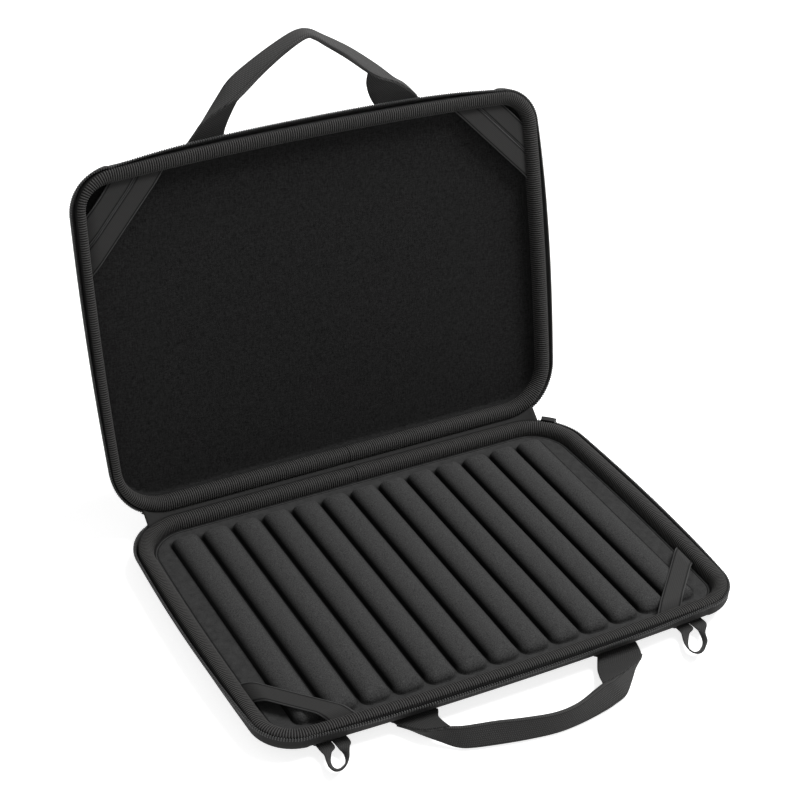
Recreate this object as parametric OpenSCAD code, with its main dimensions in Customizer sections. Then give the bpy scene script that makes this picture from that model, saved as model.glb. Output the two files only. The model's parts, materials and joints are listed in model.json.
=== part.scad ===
// Zipped hard case for a laptop, standing open with its lid up.
// X runs along the hinge, -Y is the front and +Z is up. The origin is the
// middle of the flat bottom of the base. Sizes are in millimetres.

/* [Case] */
// Width of a half across its corners, zip tape left out
case_w = 336.5; // [280:1:400]
// Depth of a half from its back to its front corners
case_d = 242.2; // [200:1:300]
// Height of one half, bottom face to rim
half_h = 19; // [18:0.5:24]
// Radius of the two corners away from the hinge
front_corner_r = 28; // [27:0.5:40]
// Radius of the two corners at the hinge
hinge_corner_r = 38; // [32:0.5:46]
// How far each side bows out past its corners
side_bow = 2.8; // [1:0.1:6]
// How far the front bows out past its corners
front_bow = 4.8; // [1:0.1:8]

/* [Shell] */
// Width of the rounded border that leads to the flat face
dome_w = 26; // [20:0.5:26]
// Height of that rounded border
dome_h = 12; // [10:0.5:14]
// Thickness of the moulded shell
shell_t = 4; // [3:0.1:4.5]
// Thickness of the foam ring that pads the rim
pad_t = 5; // [4:0.1:6]

/* [Binding] */
// Thickness of the ribbed tape sewn over the rim
binding_t = 1; // [0.6:0.1:1.2]
// How far the binding reaches down inside
binding_drop = 7.8; // [6:0.1:9]

/* [Hinge] */
// How far the lid is opened, 0 when shut
lid_angle = 101.5; // [60:0.5:130]
// Gap between the two rims when shut
rim_gap = 0.6; // [0.4:0.1:1]
// How far the hinge line lies behind the backs of the halves
hinge_out = 0.6; // [0.6:0.1:1]
// Thickness of the fabric strip along the hinge
hinge_tape_t = 0.9; // [0.6:0.1:1]
// Height of the strip on each half
hinge_tape_h = 8.6; // [7:0.1:9]

/* [Zip] */
// Thickness of the zip tape
tape_t = 1.2; // [0.8:0.1:1.4]
// Height of the sewn lower edge of the tape, down from the rim
tape_low = 9; // [8:0.1:9.5]
// Top edge of the tape, down from the rim
tape_high = 2.4; // [2.2:0.1:3]
// How far the tape leans out on the straight sides
zip_flare = 2.5; // [2:0.1:3]
// How far the tape leans out round the hinge corners
corner_flare = 1.8; // [1.6:0.1:2.2]
// How much lower the leaning tape hangs
zip_droop = 2; // [1:0.1:2.4]
// Height of the row of teeth
teeth_h = 1.3; // [1:0.1:1.4]
// Width of the row of teeth
teeth_w = 1.6; // [1.2:0.1:1.8]
// How far the zip runs round each hinge corner, in degrees
zip_wrap = 62; // [60:1:64]
// Length of the crimped stop at each end of the zip
stop_len = 2.6; // [2:0.1:4]

/* [Slider] */
// Length of the slider along the zip
slider_len = 11; // [9:0.5:13]
// Where the parked slider sits round the hinge corner, in degrees
slider_at = 46; // [40:1:46]
// Thickness of the outer plate of the slider
slider_plate = 1.4; // [1:0.1:1.6]
// Length of the pull, from its pin
pull_len = 12.5; // [10:0.5:13]
// Width of the pull
pull_w = 5.5; // [4:0.5:6]
// Thickness of the pull
pull_t = 1.2; // [1:0.1:1.5]
// Diameter of the pin that carries the pull
pin_d = 1.4; // [1.2:0.1:1.6]

/* [Padding] */
// Thickness of the foam core under the ribbed pad
core_t = 4.8; // [3:0.1:4.9]
// Thickness of the panel that carries the ribs
panel_t = 1.8; // [1:0.1:2]
// Distance from rib to rib
rib_pitch = 22.3; // [20:0.1:22.6]
// Width of a rib
rib_w = 20.9; // [16:0.1:21.5]
// Height of a rib
rib_h = 6.5; // [4:0.1:6.6]
// Flat border left behind the ribs
rib_back_gap = 12; // [10:0.5:20]
// Flat border left ahead of the ribs, at the corners
rib_front_gap = 8; // [7:0.5:20]
// Least flat border left beside the ribs
rib_side_gap = 12; // [10:0.5:20]
// Thickness of the foam sheet behind the lid lining
lid_foam_t = 1.5; // [1:0.1:2]
// Thickness of the lid lining
lining_t = 1.1; // [0.8:0.1:1.4]

/* [Corner straps] */
// Width of the elastic
elastic_w = 13; // [10:0.5:14]
// Thickness of the elastic
elastic_t = 1; // [0.6:0.1:1]
// Slope of the straps across the corners, in degrees
strap_slope = 42; // [38:1:50]
// Distance from the square corner of the case to the free edge of the strap
strap_setback = 47.4; // [44:0.2:56]

/* [Webbing] */
// Width of the handle webbing
webbing_w = 30; // [24:1:32]
// Thickness of the webbing
webbing_t = 1.6; // [1.2:0.1:1.8]
// Distance between the two feet of a handle
handle_span = 144; // [120:1:160]
// How far the base handle stands out from the front
base_reach = 41; // [36:0.5:50]
// How far the lid handle stands out from its edge
lid_reach = 58; // [50:0.5:66]
// Width of the webbing of the two small loops
loop_w = 10; // [8:0.5:11]
// Thickness of the loop webbing
loop_t = 1.1; // [0.8:0.1:1.2]
// Distance from the middle of the case to each loop
loop_x = 128; // [115:1:132]
// How far a loop stands out from the front
loop_reach = 20; // [17:0.5:26]

/* [Hidden] */

// Colours
shell_grey = [0.13, 0.13, 0.14];
cloth_grey = [0.17, 0.17, 0.18];
lining_black = [0.06, 0.06, 0.07];
tape_grey = [0.20, 0.20, 0.21];
webbing_grey = [0.24, 0.24, 0.25];
metal_grey = [0.55, 0.55, 0.57];
foam_grey = [0.30, 0.30, 0.31];

// Half sizes of the shell at its corners
half_w = case_w / 2;
half_d = case_d / 2;
// Small working gaps
skin_gap = 0.15;
seat_gap = 0.1;
run_gap = 0.3;
// Hinge line
hinge_y = half_d + hinge_out;
hinge_z = half_h + rim_gap / 2;
// Inside depths, measured in from the outer face and up from the bottom face
rim_in = shell_t + pad_t;
floor_z = shell_t;
floor_cut = 3;
core_top = floor_z + seat_gap + core_t;
panel_top = core_top + 0.2 + panel_t;
rib_foot = panel_top + seat_gap;
// The ribs fill the panel up to its borders
panel_in = rim_in + seat_gap;
rib_back = half_d - panel_in - rib_back_gap;
rib_front = -(half_d - panel_in - rib_front_gap);
rib_len = rib_back - rib_front;
ribs_a_side = floor((half_w - panel_in - rib_side_gap - rib_w / 2) / rib_pitch);
binding_low = half_h - binding_drop;
strap_z = half_h - 1.1;
tape_in = skin_gap;
tape_out = skin_gap + tape_t;

// The outline is a ring of tangent arcs. Each station holds the centre of its
// arc, the radius at the outer face and the direction, so an inset of the
// outline is the same stations with a smaller radius.
side_r = (half_d * half_d + side_bow * side_bow) / (2 * side_bow);
front_r = (half_w * half_w + front_bow * front_bow) / (2 * front_bow);
side_c = [half_w + side_bow - side_r, 0];
front_c = [0, front_r - half_d - front_bow];

// Where two circles cross, on the right of the line from the first centre
function crossing(c1, r1, c2, r2) =
    let (
        gap = norm(c2 - c1),
        along = (gap * gap + r1 * r1 - r2 * r2) / (2 * gap),
        away = sqrt(r1 * r1 - along * along),
        dir = (c2 - c1) / gap
    )
    c1 + along * dir + away * [dir.y, -dir.x];

function heading(v) = atan2(v.y, v.x);

front_corner_c = crossing(side_c, side_r - front_corner_r, front_c, front_r - front_corner_r);
hinge_corner_c = [
    side_c.x + sqrt(pow(side_r - hinge_corner_r, 2) - pow(half_d - hinge_corner_r, 2)),
    half_d - hinge_corner_r
];
front_turn = heading(front_corner_c - front_c);
low_turn = heading(front_corner_c - side_c);
high_turn = heading(hinge_corner_c - side_c);

function flip_x(c) = [-c.x, c.y];

// Stations of an arc, its last one left out unless last is 1.
// lean(u) is how far the zip tape leans out there, from 0 to 1 along the arc.
function arc(c, r, from, to, steps, lean, last = 0) = [
    for (i = [0 : steps - 1 + last])
        let (u = i / steps)
        [c.x, c.y, r, from + (to - from) * u, lean(u)]
];

front_steps = 8;
corner_steps = 6;
side_steps = 6;
hinge_steps = 7;

no_lean = function (u) 0;
hinge_lean = function (u) corner_flare;
side_lean = function (u)
    (1 - pow(u, 4)) * (corner_flare + (zip_flare - corner_flare) * sin(90 * min(1, 2 * u)));
side_lean_back = function (u) side_lean(1 - u);
front_lean = function (u) zip_flare * (1 - pow(2 * u - 1, 4));

// From the left hinge corner round the front to the right hinge corner
function zip_run(wrap) = concat(
    arc(flip_x(hinge_corner_c), hinge_corner_r, 180 - wrap, 180 - high_turn, hinge_steps, hinge_lean),
    arc(flip_x(side_c), side_r, 180 - high_turn, 180 - low_turn, side_steps, side_lean),
    arc(flip_x(front_corner_c), front_corner_r, 180 - low_turn, 180 - front_turn, corner_steps, no_lean),
    arc(front_c, front_r, -180 - front_turn, front_turn, front_steps, front_lean),
    arc(front_corner_c, front_corner_r, front_turn, low_turn, corner_steps, no_lean),
    arc(side_c, side_r, low_turn, high_turn, side_steps, side_lean_back),
    arc(hinge_corner_c, hinge_corner_r, high_turn, wrap, hinge_steps, hinge_lean, 1)
);

// The same run carried on to where the straight back closes it
rim_run = zip_run(90);

function spot(st, inset) = [
    st[0] + (st[2] - inset) * cos(st[3]),
    st[1] + (st[2] - inset) * sin(st[3])
];
function ring(inset) = [for (st = rim_run) spot(st, inset)];
function lift(flat, z) = [for (p = flat) [p.x, p.y, z]];

// Rows of points of equal length joined into one closed skin. wrap joins the
// last row to the first, and otherwise both end rows are closed with a cap.
module skin(rows, wrap = false) {
    count = len(rows);
    side = len(rows[0]);
    points = [for (row = rows) each row];
    joins = [
        for (i = [0 : count - (wrap ? 1 : 2)])
            for (j = [0 : side - 1])
                let (
                    a = i * side + j,
                    b = i * side + (j + 1) % side,
                    c = ((i + 1) % count) * side + (j + 1) % side,
                    d = ((i + 1) % count) * side + j
                )
                each [[a, b, c], [a, c, d]]
    ];
    first_cap = [[for (j = [side - 1 : -1 : 0]) j]];
    last_cap = [[for (j = [0 : side - 1]) (count - 1) * side + j]];
    polyhedron(points, wrap ? joins : concat(joins, first_cap, last_cap));
}

// A ring round the case whose section is a list of [inset, height]
module rim_ring(section) {
    skin([for (q = section) lift(ring(q[0]), q[1])], wrap = true);
}

// A dish closed by its first and last levels, each [inset, height]
module dish(levels) {
    skin([for (q = levels) lift(ring(q[0]), q[1])]);
}

// A flat sheet with the outline of the case
module sheet(inset, low, thick) {
    translate([0, 0, low]) linear_extrude(thick) polygon(ring(inset));
}

// A strip swept along a run of stations; section(lean) gives its corners
// as [distance out from the outer face, height]
module run_strip(run, section) {
    skin([for (st = run) [for (q = section(st[4])) let (p = spot(st, -q[0])) [p.x, p.y, q[1]]]]);
}

// Outer wall of a half, from its flat face up to the rim
dome_levels = [
    for (turn = [15 : 15 : 90])
        [dome_w * (1 - sin(turn)), dome_h * (1 - cos(turn))]
];
outer_levels = concat([[dome_w, 0]], dome_levels);

module half_shell() {
    dish(concat(outer_levels, [
        [0, half_h - 3.4],
        [0.6, half_h - 2.4],
        [2.2, half_h - binding_t - 0.5],
        [shell_t, half_h - binding_t - 0.2],
        [shell_t, floor_z + floor_cut],
        [shell_t + floor_cut, floor_z]
    ]));
}

module half_wall_pad() {
    inner = shell_t + seat_gap;
    rim_ring([
        [inner, floor_z + floor_cut + 0.2],
        [inner, half_h - binding_t - 0.2],
        [rim_in - 2.2, half_h - binding_t - 0.9],
        [rim_in - 0.7, half_h - binding_t - 2.3],
        [rim_in, half_h - binding_t - 4.5],
        [rim_in, floor_z + seat_gap],
        [inner + floor_cut, floor_z + seat_gap]
    ]);
}

module half_binding() {
    rim_ring([
        [0.4, half_h - 2.5],
        [0.2, half_h - 2.2],
        [1.8, half_h - 0.6],
        [shell_t, half_h],
        [shell_t + 0.5, half_h],
        [rim_in - 1.6, half_h - 0.9],
        [rim_in + 0.3, half_h - 2.8],
        [rim_in + binding_t + 0.1, half_h - 5.4],
        [rim_in + binding_t + 0.1, binding_low],
        [rim_in + seat_gap, binding_low],
        [rim_in + seat_gap, half_h - binding_t - 4.3],
        [rim_in - 0.5, half_h - binding_t - 2.1],
        [rim_in - 2.1, half_h - binding_t - 0.7],
        [shell_t, half_h - binding_t],
        [2.2, half_h - binding_t - 0.2],
        [0.9, half_h - 2]
    ]);
}

function tape_top(lean) = half_h - tape_high - zip_droop * lean / zip_flare;

tape_section = function (lean) [
    [tape_in, half_h - tape_low],
    [tape_out, half_h - tape_low],
    [tape_out + lean, tape_top(lean)],
    [tape_in + lean, tape_top(lean)]
];
teeth_mid = (tape_in + tape_out) / 2;
teeth_section = function (lean) [
    [teeth_mid + lean - teeth_w / 2, tape_top(lean) + seat_gap],
    [teeth_mid + lean + teeth_w / 2, tape_top(lean) + seat_gap],
    [teeth_mid + lean + teeth_w / 2, tape_top(lean) + teeth_h],
    [teeth_mid + lean - teeth_w / 2, tape_top(lean) + teeth_h]
];

stop_turn = stop_len / (hinge_corner_r + tape_out + corner_flare) * 180 / PI;

module half_zip_tape() {
    run_strip(zip_run(zip_wrap), tape_section);
}

module half_zip_teeth() {
    run_strip(zip_run(zip_wrap - stop_turn - 0.5), teeth_section);
}

module half_zip_stops() {
    for (side = [1, -1]) {
        angle = side > 0 ? zip_wrap : 180 - zip_wrap + stop_turn;
        c = side > 0 ? hinge_corner_c : flip_x(hinge_corner_c);
        run_strip(arc(c, hinge_corner_r, angle - stop_turn, angle, 2, hinge_lean, 1), teeth_section);
    }
}

// Everything of the lid is drawn like the base and turned over onto it
module on_lid() {
    translate([0, hinge_y, hinge_z]) rotate([-lid_angle, 0, 0]) translate([0, -hinge_y, hinge_z])
        mirror([0, 0, 1]) children();
}

// Soft curves through a few chosen points
function bend(p0, p1, p2, p3, u) =
    0.5 * (2 * p1 + (p2 - p0) * u + (2 * p0 - 5 * p1 + 4 * p2 - p3) * u * u
        + (3 * p1 - p0 - 3 * p2 + p3) * u * u * u);
function smooth(points, steps) =
    let (last = len(points) - 1)
    concat(
        [for (i = [0 : last - 1])
            for (k = [0 : steps - 1])
                bend(points[max(0, i - 1)], points[i], points[i + 1], points[min(last, i + 2)], k / steps)],
        [points[last]]
    );

function unit(v) = v / norm(v);

// Corners of a flat strap along a path: each path entry is its middle, and
// each wide entry runs from the middle to one edge
function strap_rows(path, wide, half_t) =
    let (last = len(path) - 1)
    [
        for (i = [0 : last])
            let (
                along = path[min(last, i + 1)] - path[max(0, i - 1)],
                up = unit(cross(along, wide[i])) * half_t[i],
                p = path[i],
                w = wide[i]
            )
            [p + w + up, p - w + up, p - w - up, p + w - up]
    ];

function mirrored(rows) = [for (i = [len(rows) - 2 : -1 : 0]) [-rows[i].x, rows[i].y, rows[i].z]];
function reversed(list) = [for (i = [len(list) - 2 : -1 : 0]) list[i]];

// Handles. The webbing lies flat at its feet, and is folded in half along the
// grip, where it stands on edge. Entries are [x, out from the front, height].
foot_x = handle_span / 2;
fold_out = 6.5;
fold_z = 5.9;
grip_half = webbing_w / 4;
grip_z = 8;
flat_half = webbing_w / 2;
foot_mid = [foot_x, fold_out + run_gap, fold_z];
base_grip = [
    foot_mid,
    [foot_x + 0.8, 9.3, 6],
    [foot_x + 1.5, 13, 6.8],
    [foot_x - 1, base_reach - 22, 7.6],
    [foot_x - 10, base_reach - 14.5, 7.9],
    [foot_x - 25, base_reach - 8, grip_z],
    [foot_x - 44, base_reach - 3, grip_z],
    [foot_x - 60, base_reach - 0.6, grip_z],
    [0, base_reach, grip_z]
];
lid_grip = [
    foot_mid,
    [foot_x + 0.4, 9.3, 6],
    [foot_x - 0.5, 12.5, 6.8],
    [foot_x - 5, lid_reach - 41, 7.4],
    [foot_x - 13, lid_reach - 34, 7.7],
    [foot_x - 26, lid_reach - 25, grip_z],
    [foot_x - 42, lid_reach - 13.5, grip_z],
    [foot_x - 57, lid_reach - 5, grip_z],
    [0, lid_reach, grip_z]
];
grip_wide = [
    [flat_half, 0, 0],
    [flat_half, 0, 0.3],
    [flat_half - 2.5, -1, 3],
    [flat_half - 8, -2, 6],
    [flat_half - 12.5, -1.6, grip_half - 0.3],
    [0.6, -1, grip_half],
    [0, -0.7, grip_half],
    [0, -0.6, grip_half],
    [0, -0.6, grip_half]
];
grip_thick = [1, 1, 1.3, 1.7, 2.1, 2.1, 2.1, 2.1, 2.1] * webbing_t / 2;
grip_steps = 3;

front_y = -half_d - front_bow;
function out_from_front(p) = [p.x, front_y - p.y, p.z];
function turned(w) = [w.x, -w.y, w.z];

module handle(route) {
    half_path = smooth([for (p = route) out_from_front(p)], grip_steps);
    half_wide = smooth([for (w = grip_wide) turned(w)], grip_steps);
    half_thick = smooth(grip_thick, grip_steps);
    skin(strap_rows(
        concat(half_path, mirrored(half_path)),
        concat(half_wide, mirrored(half_wide)),
        concat(half_thick, reversed(half_thick))
    ));
}

// A point on the dome of a half near its front, and the same point lifted off
function front_at(x) = front_c.y - sqrt(front_r * front_r - x * x);
function dome_point(turn, off) =
    let (n = unit([sin(turn) / dome_w, cos(turn) / dome_h]))
    [dome_w * (1 - sin(turn)) - n.x * off, dome_h * (1 - cos(turn)) - n.y * off];
foot_turn_low = 39;
foot_turn_high = 62;

// Sewn ends of a flat strap that comes out from under the case at x
module strap_end(x, half_w, thick, reach, height) {
    outer = front_at(abs(x) + half_w);
    inner = front_at(abs(x) - half_w);
    face = (outer + inner) / 2;
    flat = [half_w, 0, 0];
    // The sewn part lies along the bow of the front
    sewn = [half_w, sign(x) * (outer - inner) / 2, 0];
    low = dome_point(foot_turn_low, skin_gap + thick / 2);
    high = dome_point(foot_turn_high, skin_gap + thick / 2 + 0.1);
    path = [
        [x, face + low.x, low.y],
        [x, face + (low.x + high.x) / 2, (low.y + high.y) / 2 - 0.35],
        [x, face + high.x, high.y],
        [x, front_y - reach * 0.35, height - 0.3],
        [x, front_y - reach, height]
    ];
    skin(strap_rows(path, [sewn, sewn, sewn, flat, flat], [for (p = path) thick / 2]));
}

module handle_ends() {
    for (side = [-1, 1]) strap_end(side * foot_x, flat_half, webbing_t, fold_out, fold_z);
}

// Small loops. Two legs lie side by side and turn on edge at the tip.
loop_fold = 3.2;
loop_z = 6.3;
loop_half = loop_w / 2;
loop_leg = loop_half + 0.25;
loop_lean = -6;
loop_tip_z = loop_half + 0.3;

function flip_leg(p) = [-p.x, p.y, p.z];

module loop(side) {
    leg = [
        [loop_leg, loop_fold + run_gap, loop_z],
        [loop_leg + 0.9, loop_reach - 11.5, 6],
        [loop_leg + 1.8, loop_reach - 6, 5.6],
        [loop_leg - 0.6, loop_reach - 1.6, loop_tip_z]
    ];
    leg_wide = [[loop_half, 0, 0], [loop_half - 0.8, 0, 2], [2.2, 0, loop_half - 0.8], [0.5, 0, loop_half]];
    upright = concat(leg, [[0, loop_reach, loop_tip_z]], [for (i = [3 : -1 : 0]) flip_leg(leg[i])]);
    points = [for (p = upright) [p.x + loop_lean * (p.y - loop_fold) / (loop_reach - loop_fold), p.y, p.z]];
    wide = concat(leg_wide, [[0, 0, loop_half]], [for (i = [3 : -1 : 0]) flip_leg(leg_wide[i])]);
    path = smooth([for (p = points) [side * loop_x + p.x, front_y - p.y, p.z]], 3);
    edges = smooth(wide, 3);
    skin(strap_rows(path, edges, [for (p = path) loop_t / 2]));
}

module loop_end_pair(side) {
    for (leg = [-1, 1]) {
        strap_end(side * loop_x + leg * loop_leg, loop_half, loop_t, loop_fold, loop_z);
    }
}

// Elastic straps across the front corners, cut to the inside of the binding
function strap_line(side, back_off) =
    let (
        n = [side * sin(90 - strap_slope), -cos(90 - strap_slope)],
        dir = [-n.y, n.x],
        mid = [side * half_w, -half_d] - (strap_setback - back_off) * n
    )
    [mid - 80 * dir, mid + 80 * dir];

module corner_strap(side, band) {
    near = strap_line(side, band * (elastic_w + 0.3));
    far = strap_line(side, band * (elastic_w + 0.3) + elastic_w);
    translate([0, 0, strap_z]) linear_extrude(elastic_t) intersection() {
        polygon(ring(rim_in - 0.9));
        polygon([near[0], near[1], far[1], far[0]]);
    }
}

// One foam rib: a crowned bar with rounded ends, from [along, width, height]
rib_across = [-1, -0.94, -0.8, -0.45, 0, 0.45, 0.8, 0.94, 1];
rib_rise = [0, 0.42, 0.76, 0.97, 1, 0.97, 0.76, 0.42, 0];
rib_nose = [[0, 0.35, 0.18], [1, 0.62, 0.5], [3, 0.86, 0.78], [6.5, 0.98, 0.96], [10, 1, 1]];

module rib(x) {
    back_nose = [for (i = [len(rib_nose) - 1 : -1 : 0]) [rib_len - rib_nose[i][0], rib_nose[i][1], rib_nose[i][2]]];
    rows = concat(rib_nose, back_nose);
    skin([
        for (row = rows) [
            for (k = [0 : len(rib_across) - 1])
                [
                    x + rib_across[k] * row[1] * rib_w / 2,
                    rib_front + row[0],
                    rib_foot + rib_rise[k] * row[2] * rib_h
                ]
        ]
    ]);
}

// Slider. Its plates are bands about the centre of the right hinge corner, so
// they follow the tape round it.
slider_half_turn = slider_len / 2 / (hinge_corner_r + 4) * 180 / PI;
inner_r = hinge_corner_r + run_gap;
inner_plate = 0.6;
outer_r = hinge_corner_r + tape_out + corner_flare + 0.4;
slider_low = half_h - 7.2;
slider_top = half_h - 0.2;
bridge_t = 0.6;
band_steps = 5;
pin_r = outer_r + slider_plate + 2.1;
pin_z = half_h - 3.7;
cheek_w = 0.9;
cheek_out = 0.9;
cheek_half = 1.2;
knuckle_len = 4;
knuckle_d = pin_d + 2 * run_gap + 1.2;
plate_from = norm([cheek_out, cheek_half]) + run_gap;

function band(r0, r1, half_turn) = concat(
    [for (i = [0 : band_steps]) r0 * [cos(half_turn * (2 * i / band_steps - 1)), sin(half_turn * (2 * i / band_steps - 1))]],
    [for (i = [band_steps : -1 : 0]) r1 * [cos(half_turn * (2 * i / band_steps - 1)), sin(half_turn * (2 * i / band_steps - 1))]]
);

// Drawn about the corner centre with the slider on +X
module slider() {
    translate([0, 0, slider_low + 2.8])
        linear_extrude(slider_top - slider_low - 2.8) polygon(band(inner_r, inner_r + inner_plate, slider_half_turn));
    translate([0, 0, slider_low])
        linear_extrude(slider_top - slider_low) polygon(band(outer_r, outer_r + slider_plate, slider_half_turn));
    translate([0, 0, slider_top - bridge_t])
        linear_extrude(bridge_t) polygon(band(inner_r, outer_r + slider_plate, slider_half_turn));
    // Cheeks and pin for the pull
    for (side = [-1, 1]) {
        translate([outer_r + slider_plate / 2, side * (knuckle_len / 2 + run_gap + cheek_w / 2) - cheek_w / 2, pin_z - cheek_half])
            cube([pin_r - outer_r - slider_plate / 2 + cheek_out, cheek_w, 2 * cheek_half]);
    }
    translate([pin_r, 0, pin_z]) rotate([90, 0, 0])
        cylinder(d = pin_d, h = knuckle_len + 2 * run_gap + cheek_w, center = true, $fn = 24);
}

// The pull hangs from the pin, its eye round it
module pull() {
    translate([pin_r, 0, pin_z]) rotate([90, 0, 0]) difference() {
        union() {
            cylinder(d = knuckle_d, h = knuckle_len, center = true, $fn = 32);
            translate([-pull_t / 2, -plate_from - 0.3, -knuckle_len / 2])
                cube([pull_t, plate_from - knuckle_d / 2 + 0.6, knuckle_len]);
            translate([-pull_t / 2, -pull_len + pull_w / 2, -pull_w / 2])
                cube([pull_t, pull_len - pull_w / 2 - plate_from, pull_w]);
            translate([-pull_t / 2, -pull_len + pull_w / 2, 0]) rotate([0, 90, 0])
                cylinder(d = pull_w, h = pull_t, $fn = 32);
        }
        cylinder(d = pin_d + 2 * run_gap, h = knuckle_len + 1, center = true, $fn = 32);
    }
}

module at_slider() {
    translate(hinge_corner_c) rotate([0, 0, slider_at]) children();
}

// Strip along the hinge: up the back of the base, then along the open lid
function lid_turn(p) =
    let (y = p[0] - hinge_y, z = p[1] - hinge_z)
    [
        hinge_y + y * cos(lid_angle) + z * sin(lid_angle),
        hinge_z - y * sin(lid_angle) + z * cos(lid_angle)
    ];
strip_in = half_d + skin_gap;
strip_out = strip_in + hinge_tape_t;

// ---- Base ----

module base_shell() {
    color(shell_grey) half_shell();
}

module base_wall_pad() {
    color(foam_grey) half_wall_pad();
}

module base_foam_core() {
    color(foam_grey) sheet(panel_in, floor_z + seat_gap, core_t);
}

module base_panel() {
    color(cloth_grey) sheet(panel_in, core_top + 0.2, panel_t);
}

module foam_ribs() {
    color(cloth_grey) for (i = [-ribs_a_side : ribs_a_side]) rib(i * rib_pitch);
}

module base_binding() {
    color(tape_grey) half_binding();
}

module base_zip_tape() {
    color(tape_grey) half_zip_tape();
}

module base_zip_teeth() {
    color(metal_grey) half_zip_teeth();
}

module base_zip_stops() {
    color(metal_grey) half_zip_stops();
}

module base_handle_ends() {
    color(webbing_grey) handle_ends();
}

module base_handle() {
    color(webbing_grey) handle(base_grip);
}

module base_strap_left() {
    color(webbing_grey) corner_strap(-1, 0);
}

module base_strap_right() {
    color(webbing_grey) corner_strap(1, 0);
}

module loop_ends() {
    color(webbing_grey) for (side = [-1, 1]) loop_end_pair(side);
}

module loop_left() {
    color(webbing_grey) loop(-1);
}

module loop_right() {
    color(webbing_grey) loop(1);
}

module hinge_tape() {
    low = half_h - hinge_tape_h;
    high = 2 * hinge_z - low;
    outline = [
        [strip_in, low],
        [strip_out, low],
        [strip_out, half_h - 1.4],
        lid_turn([strip_out, 2 * hinge_z - half_h + 1.4]),
        lid_turn([strip_out, high]),
        lid_turn([strip_in, high]),
        lid_turn([strip_in, 2 * hinge_z - half_h + 1]),
        [strip_in, half_h - 0.6]
    ];
    color(tape_grey) rotate([90, 0, 90])
        translate([0, 0, -hinge_corner_c.x]) linear_extrude(2 * hinge_corner_c.x) polygon(outline);
}

// ---- Lid ----

module lid_shell() {
    color(shell_grey) on_lid() half_shell();
}

module lid_wall_pad() {
    color(foam_grey) on_lid() half_wall_pad();
}

module lid_foam_sheet() {
    color(foam_grey) on_lid() sheet(panel_in, floor_z + seat_gap, lid_foam_t);
}

module lid_lining() {
    low = floor_z + 2 * seat_gap + lid_foam_t;
    wall = panel_in;
    color(lining_black) on_lid() dish([
        [wall, low],
        [wall, binding_low - 0.2],
        [wall + lining_t, binding_low - 0.2],
        [wall + lining_t, low + lining_t + 1],
        [wall + lining_t + 2, low + lining_t]
    ]);
}

module lid_binding() {
    color(tape_grey) on_lid() half_binding();
}

module lid_zip_tape() {
    color(tape_grey) on_lid() half_zip_tape();
}

module lid_zip_teeth() {
    color(metal_grey) on_lid() half_zip_teeth();
}

module lid_zip_stops() {
    color(metal_grey) on_lid() half_zip_stops();
}

module lid_handle_ends() {
    color(webbing_grey) on_lid() handle_ends();
}

module lid_handle() {
    color(webbing_grey) on_lid() handle(lid_grip);
}

module lid_strap_left_inner() {
    color(webbing_grey) on_lid() corner_strap(-1, 0);
}

module lid_strap_left_outer() {
    color(webbing_grey) on_lid() corner_strap(-1, 1);
}

module lid_strap_right_inner() {
    color(webbing_grey) on_lid() corner_strap(1, 0);
}

module lid_strap_right_outer() {
    color(webbing_grey) on_lid() corner_strap(1, 1);
}

// ---- Slider and its pull ----

module zip_slider() {
    color(metal_grey) at_slider() slider();
}

module zip_pull() {
    color(metal_grey) at_slider() pull();
}

base_shell();
base_wall_pad();
base_foam_core();
base_panel();
foam_ribs();
base_binding();
base_zip_tape();
base_zip_teeth();
base_zip_stops();
base_handle_ends();
base_handle();
base_strap_left();
base_strap_right();
loop_ends();
loop_left();
loop_right();
hinge_tape();
lid_shell();
lid_wall_pad();
lid_foam_sheet();
lid_lining();
lid_binding();
lid_zip_tape();
lid_zip_teeth();
lid_zip_stops();
lid_handle_ends();
lid_handle();
lid_strap_left_inner();
lid_strap_left_outer();
lid_strap_right_inner();
lid_strap_right_outer();
zip_slider();
zip_pull();
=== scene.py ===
"""Zipped hard case for a laptop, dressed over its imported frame."""

import json
import math

import bmesh
import bpy
import numpy as np
from mathutils import Matrix


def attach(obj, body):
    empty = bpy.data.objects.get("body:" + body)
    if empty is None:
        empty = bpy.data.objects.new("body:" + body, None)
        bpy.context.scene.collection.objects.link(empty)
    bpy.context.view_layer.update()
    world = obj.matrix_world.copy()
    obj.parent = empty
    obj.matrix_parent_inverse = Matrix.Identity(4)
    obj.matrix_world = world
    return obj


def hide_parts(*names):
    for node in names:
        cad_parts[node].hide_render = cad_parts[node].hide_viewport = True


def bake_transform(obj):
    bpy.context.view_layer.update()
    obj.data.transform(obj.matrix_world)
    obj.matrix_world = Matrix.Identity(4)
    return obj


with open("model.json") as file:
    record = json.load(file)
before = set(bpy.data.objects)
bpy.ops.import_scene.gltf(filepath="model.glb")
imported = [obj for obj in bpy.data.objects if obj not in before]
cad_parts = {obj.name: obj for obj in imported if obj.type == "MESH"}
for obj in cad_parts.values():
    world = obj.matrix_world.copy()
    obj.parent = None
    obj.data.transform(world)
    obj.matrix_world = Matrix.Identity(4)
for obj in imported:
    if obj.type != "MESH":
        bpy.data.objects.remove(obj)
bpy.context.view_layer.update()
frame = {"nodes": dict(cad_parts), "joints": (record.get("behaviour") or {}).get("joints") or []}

# -------
# Sizes, in millimetres unless the name says otherwise. They repeat the ones
# that the frame was built from.
# -------
MM = 0.001

joints = {j["name"]: j for j in frame["joints"]}
LID_OPEN = math.radians(-joints["lid_hinge"]["range_deg"][0])
HINGE_Y = joints["lid_hinge"]["pos_m"][1] / MM
HINGE_Z = joints["lid_hinge"]["pos_m"][2] / MM

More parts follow.
